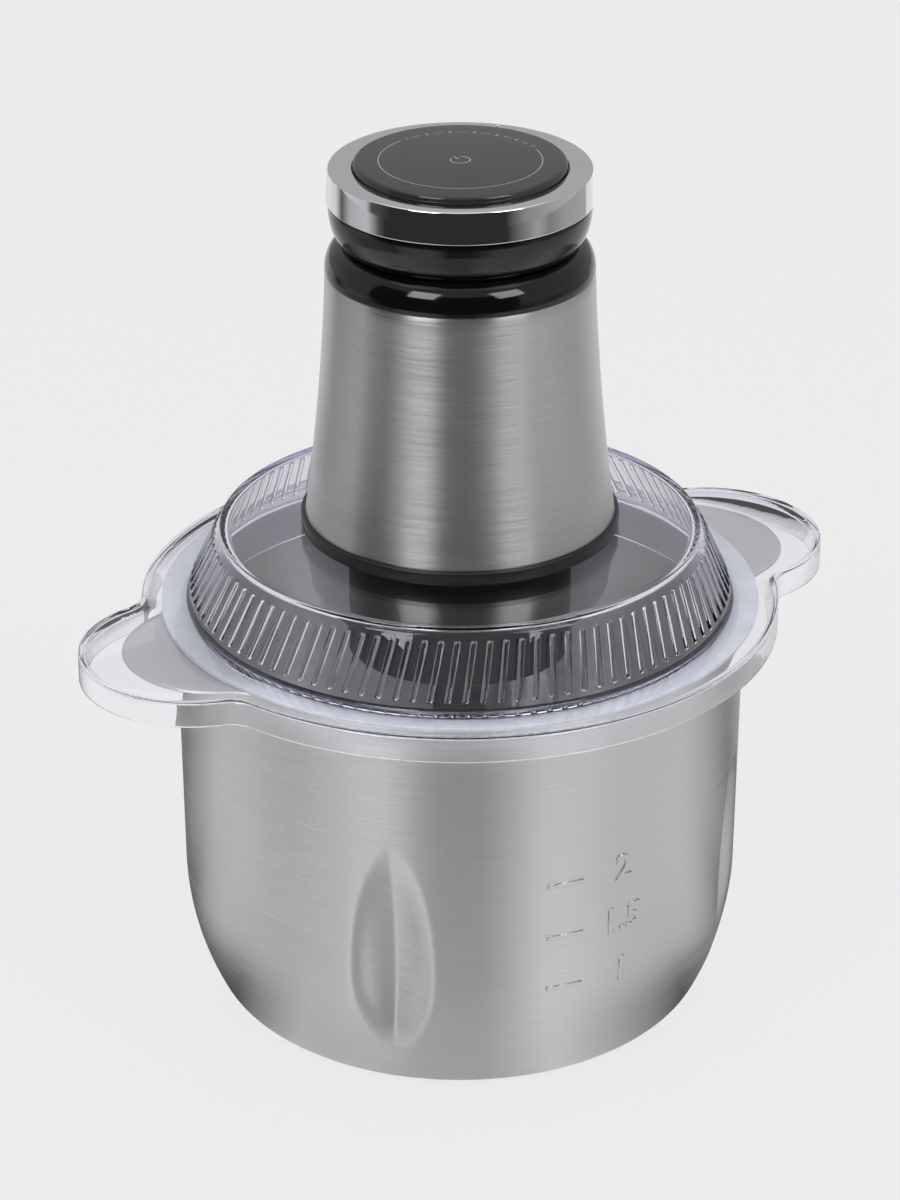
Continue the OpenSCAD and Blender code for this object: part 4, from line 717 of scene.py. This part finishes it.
# Speed ring: a moulding plated with bright chrome, which is a mirror with hardly a wave in it. It turns on
# the deck's tube, and a short groove in its flat top is the pointer.
chrome = worked("chrome_plating", "#E2E3E6", "#DDDEE2", 0.045, 30.0, metal=1.0, relief=0.02, spread=0.015)
ring = turned("speed_ring_moulding", [
    (42.2, 279.7), (42.5, 280), (41.9, 290.1), (41.6, 290.4), (34.3, 290.4), (34.3, 285), (32.5, 285),
    (32.5, 280), (35.5, 280), (35.5, 288), (39.7, 288), (39.7, 279.7)],
    [0.2, 0.25, 0.25, 0.25, 0.35] + [0.2] * 7, "speed_dial", chrome, columns=360, steps=5)
pointer_az = np.radians(45)
pointing = np.array([np.cos(pointer_az), np.sin(pointer_az)])
groove_z = 290.45
cut_away(ring, rod(0.3, (*(36.4 * pointing), groove_z), (*(39.6 * pointing), groove_z), sides=24))
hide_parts("speed_ring")

# Start button: a disc with a bevelled edge, moulded in smoked dark grey and polished, so that it is a shade
# lighter than the black. A thin matt grey print on it shows the speed scale and the power sign.
smoked = worked("smoked_button_moulding", "#303032", "#2C2C2E", 0.09, 20.0, relief=0.01, spread=0.02)
button = turned("button_disc", [
    (0.02, 292.5), (33.1, 292.5), (33.9, 291.7), (33.9, 288.7), (31.9, 288.7), (31.9, 290), (3, 290),
    (3, 277.1), (2.2, 277.1), (2.2, 276.4), (3, 276.4), (3, 274.9), (0.02, 274.9)],
    [0, 0.5, 0.5] + [0.15] * 10, "button", smoked, columns=360, steps=5)
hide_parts("start_button")
print_grey = worked("grey_screen_print", "#A6A9AC", "#94979A", 0.5, 0.6, relief=0.002)
print_z = 292.515


def printed_band(radius, width, start, stop, count):
    """A flat printed arc in mm: two rows of points at the radius plus and minus half the width."""
    turn = np.radians(np.linspace(start, stop, count))
    unit = np.stack([np.cos(turn), np.sin(turn)], 1)
    both = np.concatenate([(radius - width / 2) * unit, (radius + width / 2) * unit])
    faces = np.stack([np.arange(count - 1), np.arange(count - 1) + count, np.arange(1, count) + count,
                      np.arange(1, count)], 1)
    return np.column_stack([both, np.full(2 * count, print_z)]), faces


def printed_piece(name, bands):
    """Joins printed bands into one thin closed piece: each flat band gets 0.02 mm of ink."""
    vertices = []
    faces = []
    for points, quads in bands:
        quads = quads + sum(len(found) for found in vertices)
        vertices.append(points)
        faces.append(quads)
    made = plain_object(name, (np.concatenate(vertices) * mm).tolist(), np.concatenate(faces).tolist(),
                        print_grey)
    ink = made.modifiers.new("ink", "SOLIDIFY")
    ink.thickness = 0.00002
    ink.offset = -1
    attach(made, "button")


# The scale is a circle that leaves room for each number. One long arc goes round the rest of the button.
scale_r = 25.9
scale_width = 0.3
room_beside_digit = 5.2
long_arc = (110, 355)
digit_az = np.linspace(104, 2, 7)
bands = [printed_band(scale_r, scale_width, *long_arc, 150)]
bands += [printed_band(scale_r, scale_width, high - room_beside_digit, low + room_beside_digit, 8)
          for high, low in zip(digit_az[:-1], digit_az[1:])]

# The power sign is a ring with a gap, and a stroke that stands in the gap.
sign_az = 97
sign_r = 3.1
sign_gap = 32
sign_width = 0.42
stroke_from = 1.0
stroke_to = 3.8
stroke_half = 0.22
bands.append(printed_band(sign_r, sign_width, sign_az + sign_gap, sign_az + 360 - sign_gap, 60))
stroke_turn = np.radians(sign_az)
along_stroke = np.array([np.cos(stroke_turn), np.sin(stroke_turn)])
side_stroke = np.array([-np.sin(stroke_turn), np.cos(stroke_turn)]) * stroke_half
stroke_points = np.array([along_stroke * stroke_from - side_stroke, along_stroke * stroke_to - side_stroke,
                          along_stroke * stroke_to + side_stroke, along_stroke * stroke_from + side_stroke])
bands.append((np.column_stack([stroke_points, np.full(4, print_z)]), np.array([[0, 1, 2, 3]])))
printed_piece("button_print", bands)
for number, azimuth in zip("1234567", digit_az):
    digit = text_mesh("digit_" + number, number, size=0.0027, thick=0.00001)
    turn = np.radians(azimuth)
    place = Matrix.Translation((scale_r * mm * np.cos(turn), scale_r * mm * np.sin(turn), print_z * mm))
    digit.transform(place @ Matrix.Rotation(turn - np.pi / 2, 4, "Z"))
    marking("button_digit_" + number, digit, print_grey, "button")

# Return spring: drawn steel wire wound in five turns, with a dull grey sheen. It stands on the deck and lifts
# the button.
spring_wire = worked("drawn_spring_wire", "#9C9EA3", "#85878C", 0.28, 0.3, metal=1.0, relief=0.003)


def coil_points(radius, wire, foot, length, turns):
    """A helix of round wire. Its middle climbs evenly with its angle, and each ring round the middle lies at
    radius + wire / 2 cos b and at wire / 2 sin b above it."""
    climb = np.linspace(0, 1, turns * 40 + 1)[:, None]
    round_wire = np.linspace(0, 2 * np.pi, 12, endpoint=False)[None]
    far = radius + wire / 2 * np.cos(round_wire)
    turn = 2 * np.pi * turns * climb
    high = foot + wire / 2 + (length - wire) * climb + wire / 2 * np.sin(round_wire)
    return np.stack([far * np.cos(turn), far * np.sin(turn), high], -1)


spring_coil = coil_points(radius=6.4, wire=0.9, foot=279.5, length=10.5, turns=5)
spring = skin("button_spring", spring_coil, "motor_unit", spring_wire, capped=True)
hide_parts("return_spring")
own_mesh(spring)


# Blade tower: two stainless blades with ground edges, clamped on a moulded black column that turns on a
# steel pin. The pin's plate is spot-welded to the bowl.
def dress(material, *names):
    """Gives CAD nodes a finish."""
    for name in names:
        mesh = frame["nodes"][name].data
        mesh.materials.clear()
        mesh.materials.append(material)


# Rolled blade steel has a satin sheen drawn out along the blade.
dress(worked("satin_blade_steel", "#D6D7D9", "#C2C3C6", 0.26, 0.5, metal=1.0, relief=0.004,
             stretch=(0.12, 1, 1)), "lower_blade", "upper_blade")

# Moulded polypropylene is a soft, slightly waxy black.
dress(worked("moulded_polypropylene", "#232325", "#1C1C1E", 0.42, 0.7, relief=0.01), "blade_hub",
      "blade_spacer", "blade_nut", "drive_coupling")

# Ground steel is bright, with fine lines round each pin and shaft.
dress(worked("ground_steel", "#C9CACC", "#B4B5B8", 0.22, 0.4, metal=1.0, relief=0.003, stretch=(1, 1, 6)),
      "pivot_pin", "rotor_shaft", "planet_pins", "lower_bearing", "upper_bearing")

# Drawn brass is warm yellow and smooth, a little dulled by handling.
dress(worked("drawn_brass", "#C9A35A", "#B08A45", 0.3, 1.2, metal=1.0, relief=0.005), "hub_bush",
      "brush_holders", "speed_wiper")

# Gearbox: natural acetal gears round a sintered steel sun, closed by a die-cast aluminium cover. The output
# shaft runs in an oil-filled bronze bush above a rubber lip seal. Natural acetal is a creamy, waxy white.
dress(worked("natural_acetal", "#E9E4D4", "#DCD6C4", 0.38, 1.5, relief=0.01), "ring_gear", "planet_gear_1",
      "planet_gear_2", "planet_gear_3")

# Sintered steel is dull grey and speckled by its pressed powder.
dress(worked("sintered_steel", "#8F9093", "#77787C", 0.45, 0.35, metal=1.0, relief=0.02), "sun_pinion",
      "planet_carrier")

# Die-cast aluminium has a pale, cloudy skin with shallow flow marks.
dress(worked("die_cast_aluminium", "#C4C5C7", "#A9AAAD", 0.48, 1.1, metal=1.0, relief=0.03), "gearbox_cover")

# Sintered bronze is brown and slightly open, dark with oil in its pores.
dress(worked("sintered_bronze", "#A5753F", "#8B5F31", 0.42, 0.4, metal=1.0, relief=0.015), "output_bush")

# Soft rubber is nearly black and takes almost no highlight.
dress(worked("soft_black_rubber", "#1B1B1C", "#141415", 0.62, 0.8, relief=0.02), "shaft_seal", "cord_gland")

# Zinc plating is bright and slightly blue, uneven from its bath.
dress(worked("zinc_plated_steel", "#B9BBBF", "#9EA0A6", 0.3, 0.6, metal=1.0, relief=0.006), "housing_screws",
      "stator_screws", "board_screws", "retainer_screws", "coupling_screw")

# Motor: rotor and stator are stacks of blued electrical sheet with enamelled copper windings. Carbon brushes
# run on the copper commutator, and a moulded fan cools it all. The stacks' cut edges show as fine bands.
dress(worked("stacked_electrical_sheet", "#5B5D62", "#3F4146", 0.42, 0.5, metal=1.0, relief=0.03,
             stretch=(0.05, 0.05, 1)), "stator_core", "rotor_core")

# Enamel gives the wound copper wire a red brown gloss, and the wires lie as fine ridges.
dress(worked("enamelled_copper_wire", "#B4612B", "#7E3C17", 0.28, 0.45, metal=0.7, relief=0.06,
             stretch=(0.2, 0.2, 1)), "field_coils", "rotor_windings", "suppression_choke")

# Turned copper is pink and bright, with lines round it from the tool.
dress(worked("turned_copper", "#C9865B", "#AE6B43", 0.25, 0.3, metal=1.0, relief=0.004,
             stretch=(0.1, 0.1, 1)), "commutator")

# Pressed carbon is dark grey and dry.
dress(worked("pressed_carbon", "#262626", "#1A1A1A", 0.55, 0.3, relief=0.01), "carbon_brushes")

# Glass-filled nylon is a dull black, clouded by its fibres, and plain nylon an even white.
dress(worked("glass_filled_nylon", "#2C2C2E", "#202022", 0.5, 0.6, relief=0.02), "upper_bracket")
dress(worked("white_moulded_nylon", "#DDDDDF", "#CFCFD2", 0.4, 1.4, relief=0.01), "cooling_fan")

# The brush springs, the retainer and the clip have the same dull grey as the return spring's wire.
dress(spring_wire, "brush_springs", "ring_retainer", "button_clip")

# Controls: two boards of green laminate with their parts under the deck, a key switch below the button's
# stem, and a track board that the speed ring's contact slides on. The laminate's weave shows through green
# lacquer, the capacitor's case is shiny yellow film, and the rest is matt black.
dress(worked("green_board_laminate", "#1F5A33", "#174827", 0.3, 2.2, relief=0.01), "power_board",
      "control_board", "speed_track")
dress(worked("yellow_film_case", "#C9A13C", "#B58E2F", 0.3, 2.0, relief=0.01), "filter_capacitor")
dress(worked("matt_black_moulding", "#1A1A1B", "#131314", 0.45, 0.8, relief=0.01), "control_deck",
      "start_switch", "power_triac")
